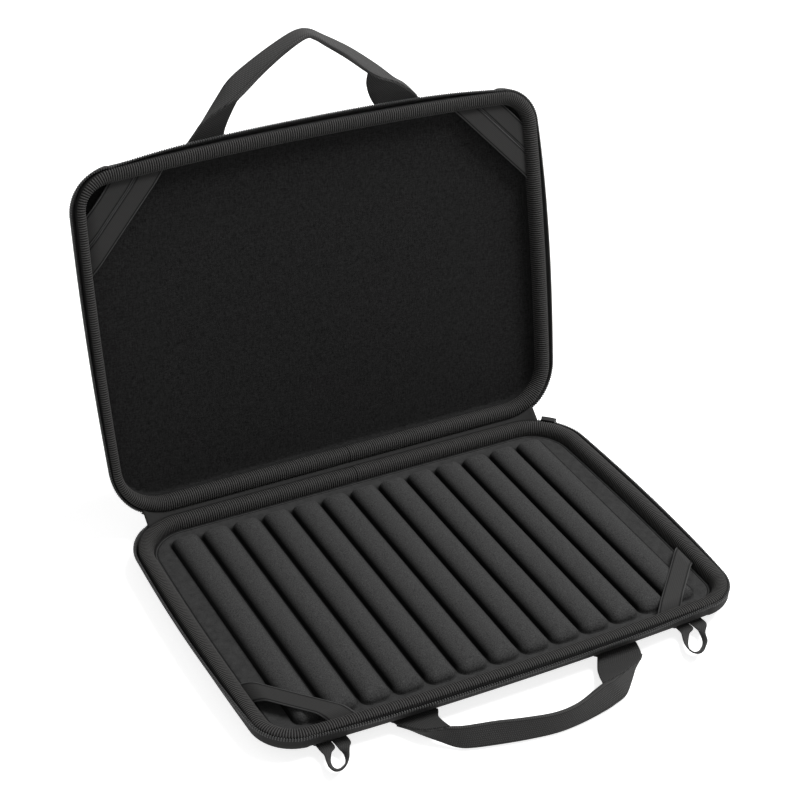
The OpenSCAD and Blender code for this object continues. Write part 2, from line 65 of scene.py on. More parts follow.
HALF_W = 168.25
HALF_D = 121.1
HALF_H = 19.0
FRONT_CORNER_R = 28.0
HINGE_CORNER_R = 38.0
SIDE_BOW = 2.8
FRONT_BOW = 4.8
DOME_W = 26.0
DOME_H = 12.0
RIM_IN = 9.0
FRONT_Y = -HALF_D - FRONT_BOW

# The zip tape, from TAPE_LOW under the rim's top to TAPE_HIGH under it. It
# leans out by the flares, and its free edge droops where it leans.
TAPE_T = 1.2
TAPE_LOW = 9.0
TAPE_HIGH = 2.4
ZIP_FLARE = 2.5
CORNER_FLARE = 1.8
LID_LEAN = 3.5
BASE_DROOP = 0.4
LID_DROOP = 1.2
# How far round the hinge corners, in degrees: where the tape starts to thin
# and stand up, where it ends, and where the teeth end
THIN_FROM = 46
TAPE_TURN = 80.0
TEETH_TURN = 72.0
TOOTH_PITCH = 1.7
TOOTH_LEN = 0.8
SKIN_GAP = 0.15

# Share of the full wall that the lid's sides have
LID_SLIM_LEFT = 0.66
LID_SLIM_RIGHT = 0.92

PANEL_TOP = 10.9
RIB_COUNT = 13
RIB_PITCH = 22.3
RIB_W = 20.3
RIB_H = 6.8
RIB_BACK = 100.0
RIB_FRONT_GAP = 8.6

# Corner elastic: its slope in degrees, and where its ends tuck under the
# binding
ELASTIC_W = 13.0
STRAP_SLOPE = 43.0
STRAP_SETBACK = 49.6
STRAP_SAG = 0.25
TUCK_IN = 9.6
TUCK_Z = 12.9
TUCK_RUN = 12.0

WEBBING_W = 30.0
WEBBING_T = 1.6
FOOT_X = 72.0
LOOP_W = 10.0
LOOP_T = 1.1
LOOP_X = 128.0

# Ribs of the binding, and the lap at the back where its two ends meet
BINDING_PITCH = 1.6
BINDING_RIB = 0.26
LAP_AT = 3.5
LAP_LEN = 14.0
LAP_STEP = 0.42

# How far the hinge strip goes on past the straight back, along x
GUSSET = 21.0

# Lines of painted shade on the pad beside the binding, one in the crevice under its edge and one down in
# the pressed seam groove, as (in from the pad's inner end, half width)
SHADED_LINES = ((9.6, 0.75), (11.65, 0.45))


# -------
# Outline of a half: tangent arcs, so an inset is the same arcs with smaller
# radii. A run holds, for each station, its arc's centre, radius, direction and
# how far the zip tape leans out there.
# -------
def crossing(c1, r1, c2, r2):
    """Where two circles cross, on the right of the line between centres."""
    gap = np.linalg.norm(c2 - c1)
    along = (gap * gap + r1 * r1 - r2 * r2) / (2 * gap)
    away = math.sqrt(r1 * r1 - along * along)
    d = (c2 - c1) / gap
    return c1 + along * d + away * np.array([d[1], -d[0]])


def heading(v):
    return math.degrees(math.atan2(v[1], v[0]))


SIDE_R = (HALF_D**2 + SIDE_BOW**2) / (2 * SIDE_BOW)
FRONT_R = (HALF_W**2 + FRONT_BOW**2) / (2 * FRONT_BOW)
SIDE_C = np.array([HALF_W + SIDE_BOW - SIDE_R, 0.0])
FRONT_C = np.array([0.0, FRONT_R - HALF_D - FRONT_BOW])
FRONT_CORNER = crossing(SIDE_C, SIDE_R - FRONT_CORNER_R, FRONT_C, FRONT_R - FRONT_CORNER_R)
HINGE_CORNER = np.array([
    SIDE_C[0] + math.sqrt((SIDE_R - HINGE_CORNER_R) ** 2 - (HALF_D - HINGE_CORNER_R) ** 2),
    HALF_D - HINGE_CORNER_R,
])
FRONT_TURN = heading(FRONT_CORNER - FRONT_C)
LOW_TURN = heading(FRONT_CORNER - SIDE_C)
HIGH_TURN = heading(HINGE_CORNER - SIDE_C)


def flipped(c):
    return np.array([-c[0], c[1]])


def side_lean(u):
    more = (ZIP_FLARE - CORNER_FLARE) * math.sin(math.pi / 2 * min(1, 2 * u))
    return (1 - u**4) * (CORNER_FLARE + more)


def front_lean(u):
    return ZIP_FLARE * (1 - (2 * u - 1) ** 4)


def corner_lean(turn):
    """It stands up again where it runs out round the hinge corners."""
    t = min(1.0, max(0.0, (turn - THIN_FROM) / (TAPE_TURN - THIN_FROM)))
    return CORNER_FLARE * (1 - 0.9 * t * t * (3 - 2 * t))


def outline(step, wrap=90.0):
    """Stations about step mm apart, from the left hinge corner round the
    front to the right one. wrap is how far it goes round those corners."""
    legs = [
        (flipped(HINGE_CORNER), HINGE_CORNER_R, 180 - wrap, 180 - HIGH_TURN,
         lambda u: corner_lean(wrap + (HIGH_TURN - wrap) * u)),
        (flipped(SIDE_C), SIDE_R, 180 - HIGH_TURN, 180 - LOW_TURN, side_lean),
        (flipped(FRONT_CORNER), FRONT_CORNER_R, 180 - LOW_TURN, 180 - FRONT_TURN, lambda u: 0.0),
        (FRONT_C, FRONT_R, -180 - FRONT_TURN, FRONT_TURN, front_lean),
        (FRONT_CORNER, FRONT_CORNER_R, FRONT_TURN, LOW_TURN, lambda u: 0.0),
        (SIDE_C, SIDE_R, LOW_TURN, HIGH_TURN, lambda u: side_lean(1 - u)),
        (HINGE_CORNER, HINGE_CORNER_R, HIGH_TURN, wrap,
         lambda u: corner_lean(HIGH_TURN + (wrap - HIGH_TURN) * u)),
    ]
    rows = []
    for c, r, start, end, lean in legs:
        count = max(2, round(abs(math.radians(end - start)) * r / step))
        for i in range(count):
            u = i / count
            rows.append((c[0], c[1], r, math.radians(start + (end - start) * u), lean(u)))
    c, r, start, end, lean = legs[-1]
    rows.append((c[0], c[1], r, math.radians(end), lean(1)))
    return np.array(rows)


def closed_outline(step):
    """The same carried on along the straight back."""
    run = outline(step)
    count = max(2, round(2 * HINGE_CORNER[0] / step))
    back = [
        (HINGE_CORNER[0] * (1 - 2 * i / count), 0.0, HALF_D, math.pi / 2, CORNER_FLARE)
        for i in range(1, count)
    ]
    return np.vstack([run, back])


def slimness(run):
    """How slim the lid's walls are: full at its free edge, less at the sides,
    and least on the left."""
    sine, cosine = np.sin(run[:, 3]), np.cos(run[:, 3])
    aside = np.clip(np.abs(cosine) * 1.2 - 0.1, 0, 1) ** 1.5
    return 1 - aside * np.where(cosine < 0, 1 - LID_SLIM_LEFT, 1 - LID_SLIM_RIGHT)


def ring(run, inset, z, lid=False):
    """Points of the run at an inset from the outer face and a height, each
    one value or one for each station."""
    r = run[:, 2] - inset * (slimness(run) if lid else 1.0)
    x = run[:, 0] + r * np.cos(run[:, 3])
    y = run[:, 1] + r * np.sin(run[:, 3])
    return np.column_stack([x, y, np.broadcast_to(z, x.shape)])


def front_at(x):
    return FRONT_C[1] - math.sqrt(FRONT_R**2 - x * x)


def running_length(points, closed=False):
    gaps = np.linalg.norm(np.diff(points, axis=0), axis=1)
    total = np.concatenate([[0], np.cumsum(gaps)])
    if closed:
        total = np.append(total, total[-1] + np.linalg.norm(points[0] - points[-1]))
    return total


def smooth(points, steps, closed=False):
    """A soft curve through the points (Catmull-Rom)."""
    p = np.asarray(points, float)
    n = len(p)
    out = []
    for i in range(n if closed else n - 1):
        if closed:
            p0, p1, p2, p3 = p[i - 1], p[i], p[(i + 1) % n], p[(i + 2) % n]
        else:
            p0, p1, p2, p3 = p[max(0, i - 1)], p[i], p[i + 1], p[min(n - 1, i + 2)]
        for k in range(steps):
            u = k / steps
            out.append(0.5 * (2 * p1 + (p2 - p0) * u + (2 * p0 - 5 * p1 + 4 * p2 - p3) * u**2
                              + (3 * p1 - p0 - 3 * p2 + p3) * u**3))
    if not closed:
        out.append(p[-1])
    return np.array(out)


def on_lid(points):
    """Turns points drawn like the base over onto the open lid."""
    p = np.array(points, float)
    y = p[..., 1] - HINGE_Y
    z = HINGE_Z - p[..., 2]
    c, s = math.cos(LID_OPEN), math.sin(LID_OPEN)
    out = p.copy()
    out[..., 1] = HINGE_Y + y * c + z * s
    out[..., 2] = HINGE_Z - y * s + z * c
    return out


# -------
# Meshes
# -------
def add_mesh(name, verts, faces, uvs, material):
    """A mesh object from millimetre points. uvs holds one pair per corner,
    in millimetres too, so patterns have their real size."""
    mesh = bpy.data.meshes.new(name)
    mesh.from_pydata((np.asarray(verts) * MM).tolist(), [], faces)
    layer = mesh.uv_layers.new(name="UVMap")
    layer.data.foreach_set("uv", np.asarray(uvs, np.float32).ravel())
    mesh.polygons.foreach_set("use_smooth", [True] * len(mesh.polygons))
    mesh.materials.append(material)
    mesh.validate()
    mesh.update()
    obj = bpy.data.objects.new(name, mesh)
    bpy.context.scene.collection.objects.link(obj)
    return obj


def face_outward(mesh, gap=0.0):
    """Turns the faces of a closed mesh outward. Points that lie within gap mm
    of each other are joined first."""
    bm = bmesh.new()
    bm.from_mesh(mesh)
    if gap:
        bmesh.ops.remove_doubles(bm, verts=bm.verts, dist=gap * MM)
        bmesh.ops.dissolve_degenerate(bm, edges=bm.edges, dist=1e-7)
    bmesh.ops.recalc_face_normals(bm, faces=bm.faces)
    bm.to_mesh(mesh)
    bm.free()


def grid_faces(rows, cols, close_rows, close_cols, u, v):
    """Quads of a grid and their uv corners, from u[row] and v[row][col]."""
    faces = []
    uvs = []
    for i in range(rows if close_rows else rows - 1):
        i2 = (i + 1) % rows
        for j in range(cols if close_cols else cols - 1):
            j2 = (j + 1) % cols
            faces.append((i * cols + j, i * cols + j2, i2 * cols + j2, i2 * cols + j))
            uvs += [(u[i], v[i][j]), (u[i], v[i][j + 1]),
                    (u[i + 1], v[i + 1][j + 1]), (u[i + 1], v[i + 1][j])]
    return faces, uvs


def loft(name, rows, material, close_rows=False, close_cols=False, caps=False, u=None, v=None):
    """Joins rows of points of equal length into one skin. u is how far along
    each row is and v how far across each column, or each point, when the
    pattern shouldn't follow the first points."""
    rows = np.asarray(rows, float)
    n, m = rows.shape[:2]
    if u is None:
        u = running_length(rows[:, 0], close_rows)
    if v is None:
        v = running_length(rows[0], close_cols)
    v = np.broadcast_to(v, (len(u), np.shape(v)[-1])).tolist()
    faces, uvs = grid_faces(n, m, close_rows, close_cols, u, v)
    if caps:
        for row in (0, n - 1):
            faces.append(tuple(range(row * m, (row + 1) * m)))
            uvs += [(u[row], v[row][k]) for k in range(m)]
    obj = add_mesh(name, rows.reshape(-1, 3), faces, uvs, material)
    face_outward(obj.data)
    return obj


def rim_ring(name, run, section, material, lid=False):
    """A closed band round the case. section is a closed loop of
    (inset, height) pairs; the rows run round the case."""
    columns = [ring(run, s, z, lid) for s, z in section]
    rows = np.stack(columns, axis=1)
    if lid:
        rows = on_lid(rows)
    return loft(name, rows, material, close_rows=True, close_cols=True)


def grid_normals(grid):
    du = np.gradient(grid, axis=0)
    dv = np.gradient(grid, axis=1)
    n = np.cross(du, dv)
    return n / np.maximum(np.linalg.norm(n, axis=2, keepdims=True), 1e-9)


def thick_sheet(name, grid, thickness, material, across=None):
    """A strip of real thickness about a middle surface of rows x columns
    points. u runs along the rows, v across them; across gives v's values
    where the strip's ends are cut at a slant."""
    grid = np.asarray(grid, float)
    n = grid_normals(grid)
    half = np.broadcast_to(np.asarray(thickness, float) / 2, grid.shape[:2])[..., None]
    top = grid + n * half
    low = (grid - n * half)[:, ::-1]
    out = grid[:, -1:] - grid[:, -2:-1]
    out /= np.linalg.norm(out, axis=2, keepdims=True)
    back = grid[:, :1] - grid[:, 1:2]
    back /= np.linalg.norm(back, axis=2, keepdims=True)
    far = grid[:, -1:] + out * half[:, -1:] * 0.8
    near = grid[:, :1] + back * half[:, :1] * 0.8
    rows = np.concatenate([top, far, low, near], axis=1)
    if across is not None:
        across = np.concatenate([across, across[-1:], across[::-1], across[:1], across[:1]])
    return loft(name, rows, material, close_cols=True, caps=True, v=across)


def joined(name, parts):
    """Several mesh objects made into one."""
    for o in bpy.context.selected_objects:
        o.select_set(False)
    for o in parts:
        o.select_set(True)
    bpy.context.view_layer.objects.active = parts[0]
    bpy.ops.object.join()
    parts[0].name = name
    parts[0].data.name = name
    return parts[0]


# -------
# Materials. Patterns use the uv map, in millimetres, or the object's own
# coordinates, in metres.
# -------
SWEEP_MIDDLE = 100  # v along the middle of a strap made by sweep()


class Shader:
    """A small helper that builds a node material step by step."""

    def __init__(self, name):
        self.material = bpy.data.materials.new(name)
        self.material.use_nodes = True
        self.tree = self.material.node_tree
        self.surface = self.tree.nodes["Principled BSDF"]

    def node(self, kind, **settings):
        n = self.tree.nodes.new(kind)
        for key, value in settings.items():
            setattr(n, key, value)
        return n

    def link(self, a, b):
        self.tree.links.new(a, b)

    def feed(self, socket, value):
        if isinstance(value, (int, float, tuple)):
            socket.default_value = value
        else:
            self.link(value, socket)

    def math(self, operation, a, b=0.0, c=0.0):
        n = self.node("ShaderNodeMath", operation=operation)
        for socket, value in zip(n.inputs, (a, b, c)):
            self.feed(socket, value)
        return n.outputs[0]

    def place(self):
        return self.node("ShaderNodeTexCoord").outputs["Object"]

    def uv(self):
        """The two uv lengths, in millimetres."""
        split = self.node("ShaderNodeSeparateXYZ")
        self.link(self.node("ShaderNodeUVMap", uv_map="UVMap").outputs[0], split.inputs[0])
        return split.outputs[0], split.outputs[1]

    def noise(self, size_mm, detail=2.0, rough=0.5, stretch=None):
        """Noise whose blobs are about size_mm across, from 0 to 1."""
        n = self.node("ShaderNodeTexNoise")
        n.inputs["Scale"].default_value = 1 / (size_mm * MM)
        n.inputs["Detail"].default_value = detail
        n.inputs["Roughness"].default_value = rough
        source = self.place()
        if stretch:
            mapping = self.node("ShaderNodeMapping")
            mapping.inputs["Scale"].default_value = stretch
            self.link(source, mapping.inputs[0])
            source = mapping.outputs[0]
        self.link(source, n.inputs["Vector"])
        return n.outputs["Fac"]

    def wave(self, length, period):
        """A sine from 0 to 1 along a uv length."""
        s = self.math("SINE", self.math("MULTIPLY", length, 2 * math.pi / period))
        return self.math("MULTIPLY_ADD", s, 0.5, 0.5)

    def mix(self, fac, a, b):
        n = self.node("ShaderNodeMix", data_type="RGBA")
        self.feed(n.inputs["Factor"], fac)
        self.feed(n.inputs["A"], a)
        self.feed(n.inputs["B"], b)
        return n.outputs["Result"]

    def spread(self, value, low, high, out_low=0.0, out_high=1.0):
        n = self.node("ShaderNodeMapRange")
        self.feed(n.inputs["Value"], value)
        n.inputs["From Min"].default_value = low
        n.inputs["From Max"].default_value = high
        n.inputs["To Min"].default_value = out_low
        n.inputs["To Max"].default_value = out_high
        return n.outputs[0]

    def bump(self, height, depth_mm, strength=1.0):
        n = self.node("ShaderNodeBump")
        n.inputs["Strength"].default_value = strength
        n.inputs["Distance"].default_value = depth_mm * MM
        self.feed(n.inputs["Height"], height)
        self.link(n.outputs[0], self.surface.inputs["Normal"])

    def finish(self, colour, roughness, sheen=0.0, metallic=0.0, specular=0.5):
        self.feed(self.surface.inputs["Base Color"], colour)
        self.feed(self.surface.inputs["Roughness"], roughness)
        self.surface.inputs["Sheen Weight"].default_value = sheen
        self.surface.inputs["Sheen Roughness"].default_value = 0.5
        self.surface.inputs["Metallic"].default_value = metallic
        self.surface.inputs["Specular IOR Level"].default_value = specular
        return self.material


def grey(value, warmth=0.0):
    return (value * (1 + warmth), value, value * (1 - warmth), 1)


def brushed_fabric(name, dark, light, grain_mm, mottle_mm, depth_mm, sheen, shade_lines=False):
    """Short napped cloth: fine grain, soft mottling, a little fuzz. The last flag adds painted shade: on
    the pad under and between the ribs and just beside the outermost ones, and in two lines along the
    binding, one of them down in the pressed seam groove."""
    s = Shader(name)
    grain = s.noise(grain_mm, 3, 0.6)
    mottle = s.noise(mottle_mm, 2, 0.5)
    both = s.math("ADD", s.math("MULTIPLY", grain, 0.65), s.math("MULTIPLY", mottle, 0.35))
    colour = s.mix(s.spread(both, 0.32, 0.68), grey(dark), grey(light))
    if shade_lines:
        # Painted shade: the pad goes near black under and between the ribs and in a narrow band just past
        # the outermost ones, fading near the ribs' ends.
        place = s.node("ShaderNodeSeparateXYZ")
        s.link(s.place(), place.inputs[0])
        edge = (RIB_COUNT - 1) / 2 * RIB_PITCH + RIB_W / 2
        sideways = s.math("ABSOLUTE", s.math("SUBTRACT", place.outputs[0], 0.75 * MM))
        beside = s.spread(sideways, (edge + 0.8) * MM, (edge + 1.9) * MM, 1.0, 0.0)
        within = s.spread(s.math("ABSOLUTE", place.outputs[1]), 96 * MM, 101 * MM, 1.0, 0.0)
        shade_beside_ribs = s.math("MULTIPLY", s.math("MULTIPLY", beside, within), 0.85)
        colour = s.mix(shade_beside_ribs, colour, grey(0.002))
        # Painted shade in two lines along the binding: in the crevice under its edge and down in the
        # pressed seam groove.
        in_from_edge, _ = s.uv()
        shade_by_binding = s.math("MAXIMUM", *(s.math("COMPARE", in_from_edge, *line) for line in SHADED_LINES))
        colour = s.mix(s.math("MULTIPLY", shade_by_binding, 0.8), colour, grey(0.003))
    s.bump(grain, depth_mm, 0.7)
    return s.finish(colour, s.spread(grain, 0.3, 0.7, 0.78, 0.95), sheen, specular=0.1)


def groove_shaded_fabric(name, dark, light, grain_mm, depth_mm, sheen):
    """The same cloth on the ribs, with painted shade low on their flanks, down in the
    grooves between them, much less at their ends. The uv's first length runs up from
    a rib's foot."""
    s = Shader(name)
    grain = s.noise(grain_mm, 1, 0.5)
    colour = s.mix(s.spread(grain, 0.30, 0.70), grey(dark), grey(light))
    place = s.node("ShaderNodeSeparateXYZ")
    s.link(s.place(), place.inputs[0])
    from_middle = s.math("ABSOLUTE", s.math("ADD", place.outputs[1], 2.5 * MM))
    at_end = s.spread(from_middle, 96 * MM, 102 * MM)
    up, _ = s.uv()
    # Painted shade: darkest at a rib's foot down in the grooves, fading out 10 mm up its flank.
    groove_shade = s.math("POWER", s.spread(up, 2.6, 10.0, 1.0, 0.0), 2.6)
    groove_shade = s.math("MULTIPLY", groove_shade, s.math("SUBTRACT", 1.0, s.math("MULTIPLY", at_end, 0.75)))
    colour = s.mix(groove_shade, colour, grey(0.0012))
    s.bump(grain, depth_mm, 0.7)
    return s.finish(colour, s.spread(grain, 0.3, 0.7, 0.78, 0.95), sheen, specular=0.06)


def woven_fabric(name, dark, light, thread_mm, depth_mm, sheen):
    """Plain lining cloth: uneven threads both ways, seen as a fine slub."""
    s = Shader(name)
    upright = s.noise(thread_mm, 1, 0.5, stretch=(1, 1, 0.16))
    level = s.noise(thread_mm, 1, 0.5, stretch=(0.3, 1, 1))
    speck = s.noise(thread_mm * 0.8, 2, 0.6)
    threads = s.math("MULTIPLY", s.math("ADD", upright, level), 0.5)
    both = s.math("ADD", s.math("MULTIPLY", threads, 0.55), s.math("MULTIPLY", speck, 0.45))
    colour = s.mix(s.spread(both, 0.36, 0.62), grey(dark), grey(light))
    s.bump(s.math("ADD", threads, speck), depth_mm, 0.7)
    return s.finish(colour, s.spread(speck, 0.3, 0.7, 0.78, 0.95), sheen, specular=0.08)


def ribbed_tape(name, dark, light, pitch, sheen):
    """Grosgrain: ribs across the tape, drawn in the mesh, with single threads between
    them. Its colour paints light and shade in step with the ribs: lighter crowns, darker valleys."""
    s = Shader(name)
    along, across = s.uv()
    # Painted highlight and shade: lighter on the ribs' crowns, darker in the valleys between them.
    ribs = s.wave(along, pitch)
    threads = s.wave(across, 0.55)
    grain = s.noise(0.5, 2)
    level = s.math("ADD", s.math("MULTIPLY", ribs, 0.6), s.math("MULTIPLY", grain, 0.4))
    s.bump(s.math("ADD", s.math("MULTIPLY", threads, 0.4), grain), 0.08, 0.6)
    colour = s.mix(s.spread(level, 0.25, 0.8), grey(dark, 0.03), grey(light, 0.02))
    return s.finish(colour, s.spread(grain, 0.3, 0.7, 0.6, 0.8), sheen, specular=0.1)


def webbing(name, dark, light, rib_mm, column_mm, depth_mm, sheen, hem=None):
    """Plain woven strap: short ribs across it in staggered columns. hem is
    where its middle lies across the uv map, then lines along both sides as
    (distance from the middle, half width, tone)."""
    s = Shader(name)
    along, across = s.uv()
    columns = s.math("MULTIPLY", across, 1 / column_mm)
    shift = s.math("MULTIPLY", s.math("FLOOR", columns), math.pi)
    ribs = s.math("SINE", s.math("ADD", s.math("MULTIPLY", along, 2 * math.pi / rib_mm), shift))
    edge = s.math("ABSOLUTE", s.math("SINE", s.math("MULTIPLY", columns, math.pi)))
    weave = s.math("MULTIPLY", s.math("MULTIPLY_ADD", ribs, 0.5, 0.5), edge)
    grain = s.noise(0.45, 2)
    level = s.math("ADD", s.math("MULTIPLY", weave, 0.6), s.math("MULTIPLY", grain, 0.4))
    s.bump(s.math("ADD", weave, s.math("MULTIPLY", grain, 0.3)), depth_mm, 0.8)
    colour = s.mix(s.spread(level, 0.1, 0.8), grey(dark, 0.015), grey(light, 0.01))
    if hem:
        from_middle = s.math("ABSOLUTE", s.math("SUBTRACT", across, hem[0]))
        for reach, half, tone in hem[1:]:
            line = s.math("COMPARE", from_middle, reach, half)
            colour = s.mix(s.math("MULTIPLY", line, 0.8), colour, grey(tone))
    return s.finish(colour, s.spread(grain, 0.3, 0.7, 0.62, 0.85), sheen, specular=0.12)


def moulded_plastic(name, tone, rough):
    s = Shader(name)
    grain = s.noise(0.35, 2)
    wear = s.noise(3, 3)
    colour = s.mix(s.spread(wear, 0.35, 0.7), grey(tone * 0.8), grey(tone * 1.25))
    s.bump(grain, 0.02, 0.4)
    return s.finish(colour, s.spread(wear, 0.3, 0.7, rough * 0.8, rough * 1.25), specular=0.3)


def painted_metal(name, tone):
    s = Shader(name)
    wear = s.noise(1.8, 4, 0.65)
    colour = s.mix(s.spread(wear, 0.62, 0.76), grey(tone), grey(0.05, 0.02))
    s.bump(s.noise(0.5, 2), 0.02, 0.3)
    return s.finish(colour, s.spread(wear, 0.3, 0.75, 0.35, 0.55), metallic=0.3, specular=0.3)


def open_foam(name, tone):
    s = Shader(name)
    cells = s.node("ShaderNodeTexVoronoi")
    cells.inputs["Scale"].default_value = 1 / (0.7 * MM)
    s.link(s.place(), cells.inputs["Vector"])
    hollow = cells.outputs["Distance"]
    colour = s.mix(s.spread(hollow, 0.1, 0.7), grey(tone * 1.3), grey(tone * 0.5))
    s.bump(hollow, 0.2, 0.5)
    return s.finish(colour, 0.95, specular=0.2)


shell_cloth = brushed_fabric("shell_cloth", 0.014, 0.026, 0.6, 9, 0.08, 0.02)
pad_cloth = brushed_fabric("pad_cloth", 0.020, 0.046, 0.8, 5, 0.10, 0.02, shade_lines=True)
rib_cloth = groove_shaded_fabric("rib_cloth", 0.022, 0.062, 0.66, 0.09, 0.02)
lining_cloth = woven_fabric("lining_cloth", 0.003, 0.0185, 0.85, 0.10, 0.01)
binding_cloth = ribbed_tape("binding_cloth", 0.003, 0.064, BINDING_PITCH, 0.02)
tape_cloth = webbing("zip_tape_cloth", 0.014, 0.038, 0.8, 0.9, 0.05, 0.02)
# A darker copy of the grip's webbing: painted shade on the handles' flat feet.
foot_cloth_shaded = webbing("foot_cloth_shaded", 0.010, 0.050, 1.3, 1.4, 0.18, 0.02)
grip_cloth = webbing("grip_cloth", 0.016, 0.064, 1.3, 1.4, 0.18, 0.02,
                     hem=(SWEEP_MIDDLE, (6.2, 0.2, 0.010)))
# A lighter copy of the grip's webbing: painted light, for the lid's brighter-lit grip.
lid_grip_cloth_lit = webbing("lid_grip_cloth_lit", 0.024, 0.086, 1.3, 1.4, 0.18, 0.02,
                         hem=(SWEEP_MIDDLE, (6.2, 0.2, 0.014)))
loop_cloth = webbing("loop_cloth", 0.016, 0.060, 1.1, 1.25, 0.14, 0.03)
elastic_cloth = webbing(
    "elastic_cloth", 0.020, 0.042, 0.9, 1.1, 0.06, 0.02,
    hem=(ELASTIC_W / 2, (ELASTIC_W / 2 - 0.3, 0.3, 0.052), (ELASTIC_W / 2 - 1.1, 0.48, 0.002)))
hinge_cloth = webbing("hinge_cloth", 0.012, 0.024, 0.8, 0.9, 0.05, 0.02)
teeth_plastic = moulded_plastic("teeth_plastic", 0.05, 0.45)
slider_metal = painted_metal("slider_metal", 0.008)
foam = open_foam("foam", 0.05)

# -------
# Camera, at the photograph's angle
# -------
VIEW_AZIMUTH = math.radians(-27.71)
VIEW_HEIGHT = math.radians(32.31)
VIEW_ROLL = math.radians(1.07)
VIEW_RANGE = 1326.7
VIEW_TARGET = np.array([2.35, 47.84, 115.1])
FOCAL_MM = 90.98

sa, ca = math.sin(VIEW_AZIMUTH), math.cos(VIEW_AZIMUTH)
se, ce = math.sin(VIEW_HEIGHT), math.cos(VIEW_HEIGHT)
sr, cr = math.sin(VIEW_ROLL), math.cos(VIEW_ROLL)
view_back = np.array([sa * ce, -ca * ce, se])
level_right = np.array([ca, sa, 0])
level_up = np.array([-sa * se, ca * se, ce])
view_right = level_right * cr + level_up * sr
view_up = level_up * cr - level_right * sr
eye = (VIEW_TARGET + VIEW_RANGE * view_back) * MM


def placed(right, up, back, place):
    """The matrix of a camera or lamp that looks against back."""
    rows = [(right[k], up[k], back[k], place[k]) for k in range(3)]
    return Matrix(rows + [(0, 0, 0, 1)])


lens = bpy.data.cameras.new("camera")
lens.lens = FOCAL_MM
lens.sensor_width = 36
lens.clip_start = 0.05
lens.clip_end = 20
camera = bpy.data.objects.new("camera", lens)
bpy.context.scene.collection.objects.link(camera)
camera.matrix_world = placed(view_right, view_up, view_back, eye)
bpy.context.scene.camera = camera


# -------
# Pieces that the base and the lid share
# -------
RING_STEP = 3.0
ring_run = closed_outline(RING_STEP)


def fitted(obj, body, slot_name, *nodes):
    """Rides the body and stands for the nodes, which it hides. slot_name is not used."""
    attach(obj, body)
    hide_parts(*nodes)
    return obj


def dish(name, levels, material, lid, slim=False):
    """A closed dish from (inset, height) levels, capped at both ends."""
    rows = np.stack([ring(ring_run, s, z, slim) for s, z in levels])
    if lid:
        rows = on_lid(rows)
    return loft(name, rows, material, close_cols=True, caps=True)


def rounded(points, steps=4):
    return [tuple(p) for p in smooth(points, steps, closed=True)]


def half_skin(lid):
    """The moulded, fabric-faced shell."""
    turns = [math.radians(a) for a in range(0, 91, 5)]
    dome = [(DOME_W * (1 - math.sin(t)), DOME_H * (1 - math.cos(t))) for t in turns]
    levels = [(DOME_W + 1.2, 0), (DOME_W + 0.6, 0)] + dome + [
        (0, 14.0), (0, HALF_H - 3.4), (0.25, HALF_H - 2.8), (0.9, HALF_H - 2.1),
        (2.2, HALF_H - 1.6), (3.6, HALF_H - 1.3), (4, HALF_H - 1.5), (4, 7.2), (5, 5), (7, 4), (9, 4)]
    return dish("lid_skin" if lid else "base_skin", levels, shell_cloth, lid)


def wall_foam(lid):
    section = rounded([
        (4.1, 7.2), (4.1, 12), (4.1, 17.6), (6.6, 17.2), (8.3, 15.7), (9, 13.5), (9, 8),
        (9, 4.2), (7.1, 4.1)], 2)
    return rim_ring("lid_wall_foam" if lid else "base_wall_foam", closed_outline(8), section, foam, lid)


def foam_slab(name, low, thick, lid):
    top = low + thick
    levels = [(16, low), (9.7, low), (9.1, low + 0.4), (9.1, top - 0.4), (9.7, top), (16, top)]
    return dish(name, levels, foam, lid, slim=lid)


def ribbed_run():
    """Stations spaced so that each rib of the binding has the same seven."""
    run = closed_outline(0.06)
    along = running_length(ring(run, 4.0, 0), True)
    count = round(along[-1] / BINDING_PITCH)
    at = np.arange(count * 7) * along[-1] / (count * 7)
    pick = np.clip(np.searchsorted(along[:-1], at), 0, len(run) - 1)
    return run[pick], np.arange(count * 7 + 1) / 7


def binding(lid):
    """Grosgrain over the rim, its ribs and its lapped ends drawn in the mesh."""
    run, turns = ribbed_run()
    section = np.array(rounded([
        (0.35, 16.6), (0.3, 17.1), (1.0, 17.9), (2.2, 18.5), (4.0, 18.78), (5.2, 18.7), (7.2, 18.1),
        (9.0, 16.5), (9.95, 14.2), (10.1, 12.6), (10.1, 11.35), (9.7, 11.2), (9.2, 11.5),
        (9.15, 13.6), (8.4, 15.5), (6.8, 17.0), (4, 17.85), (2.2, 17.6), (0.95, 16.9), (0.6, 16.5)], 2))
    tangent = np.roll(section, -1, axis=0) - np.roll(section, 1, axis=0)
    normal = np.column_stack([tangent[:, 1], -tangent[:, 0]])
    normal /= np.linalg.norm(normal, axis=1, keepdims=True)
    centre = section.mean(axis=0)
    if ((section - centre) * normal).sum() < 0:
        normal = -normal
    mid = ring(run, 4.0, 0)
    lift = BINDING_RIB * (np.sin(turns[:-1] * 2 * math.pi) - 0.35)
    lap = np.where(
        (mid[:, 1] > HALF_D - 8) & (mid[:, 0] < LAP_AT) & (mid[:, 0] > LAP_AT - LAP_LEN),
        -LAP_STEP * (1 - (LAP_AT - mid[:, 0]) / LAP_LEN), 0)
    shown = (np.arange(len(section)) < len(section) * 0.62).astype(float)
    columns = []
    for (s, z), (ns, nz), show in zip(section, normal, shown):
        off = (lift + lap) * show
        columns.append(ring(run, s + ns * off, z + nz * off, lid))
    rows = np.stack(columns, axis=1)
    if lid:
        rows = on_lid(rows)
    return loft("lid_ribbed_binding" if lid else "base_ribbed_binding", rows, binding_cloth,
                close_rows=True, close_cols=True, u=turns * BINDING_PITCH)


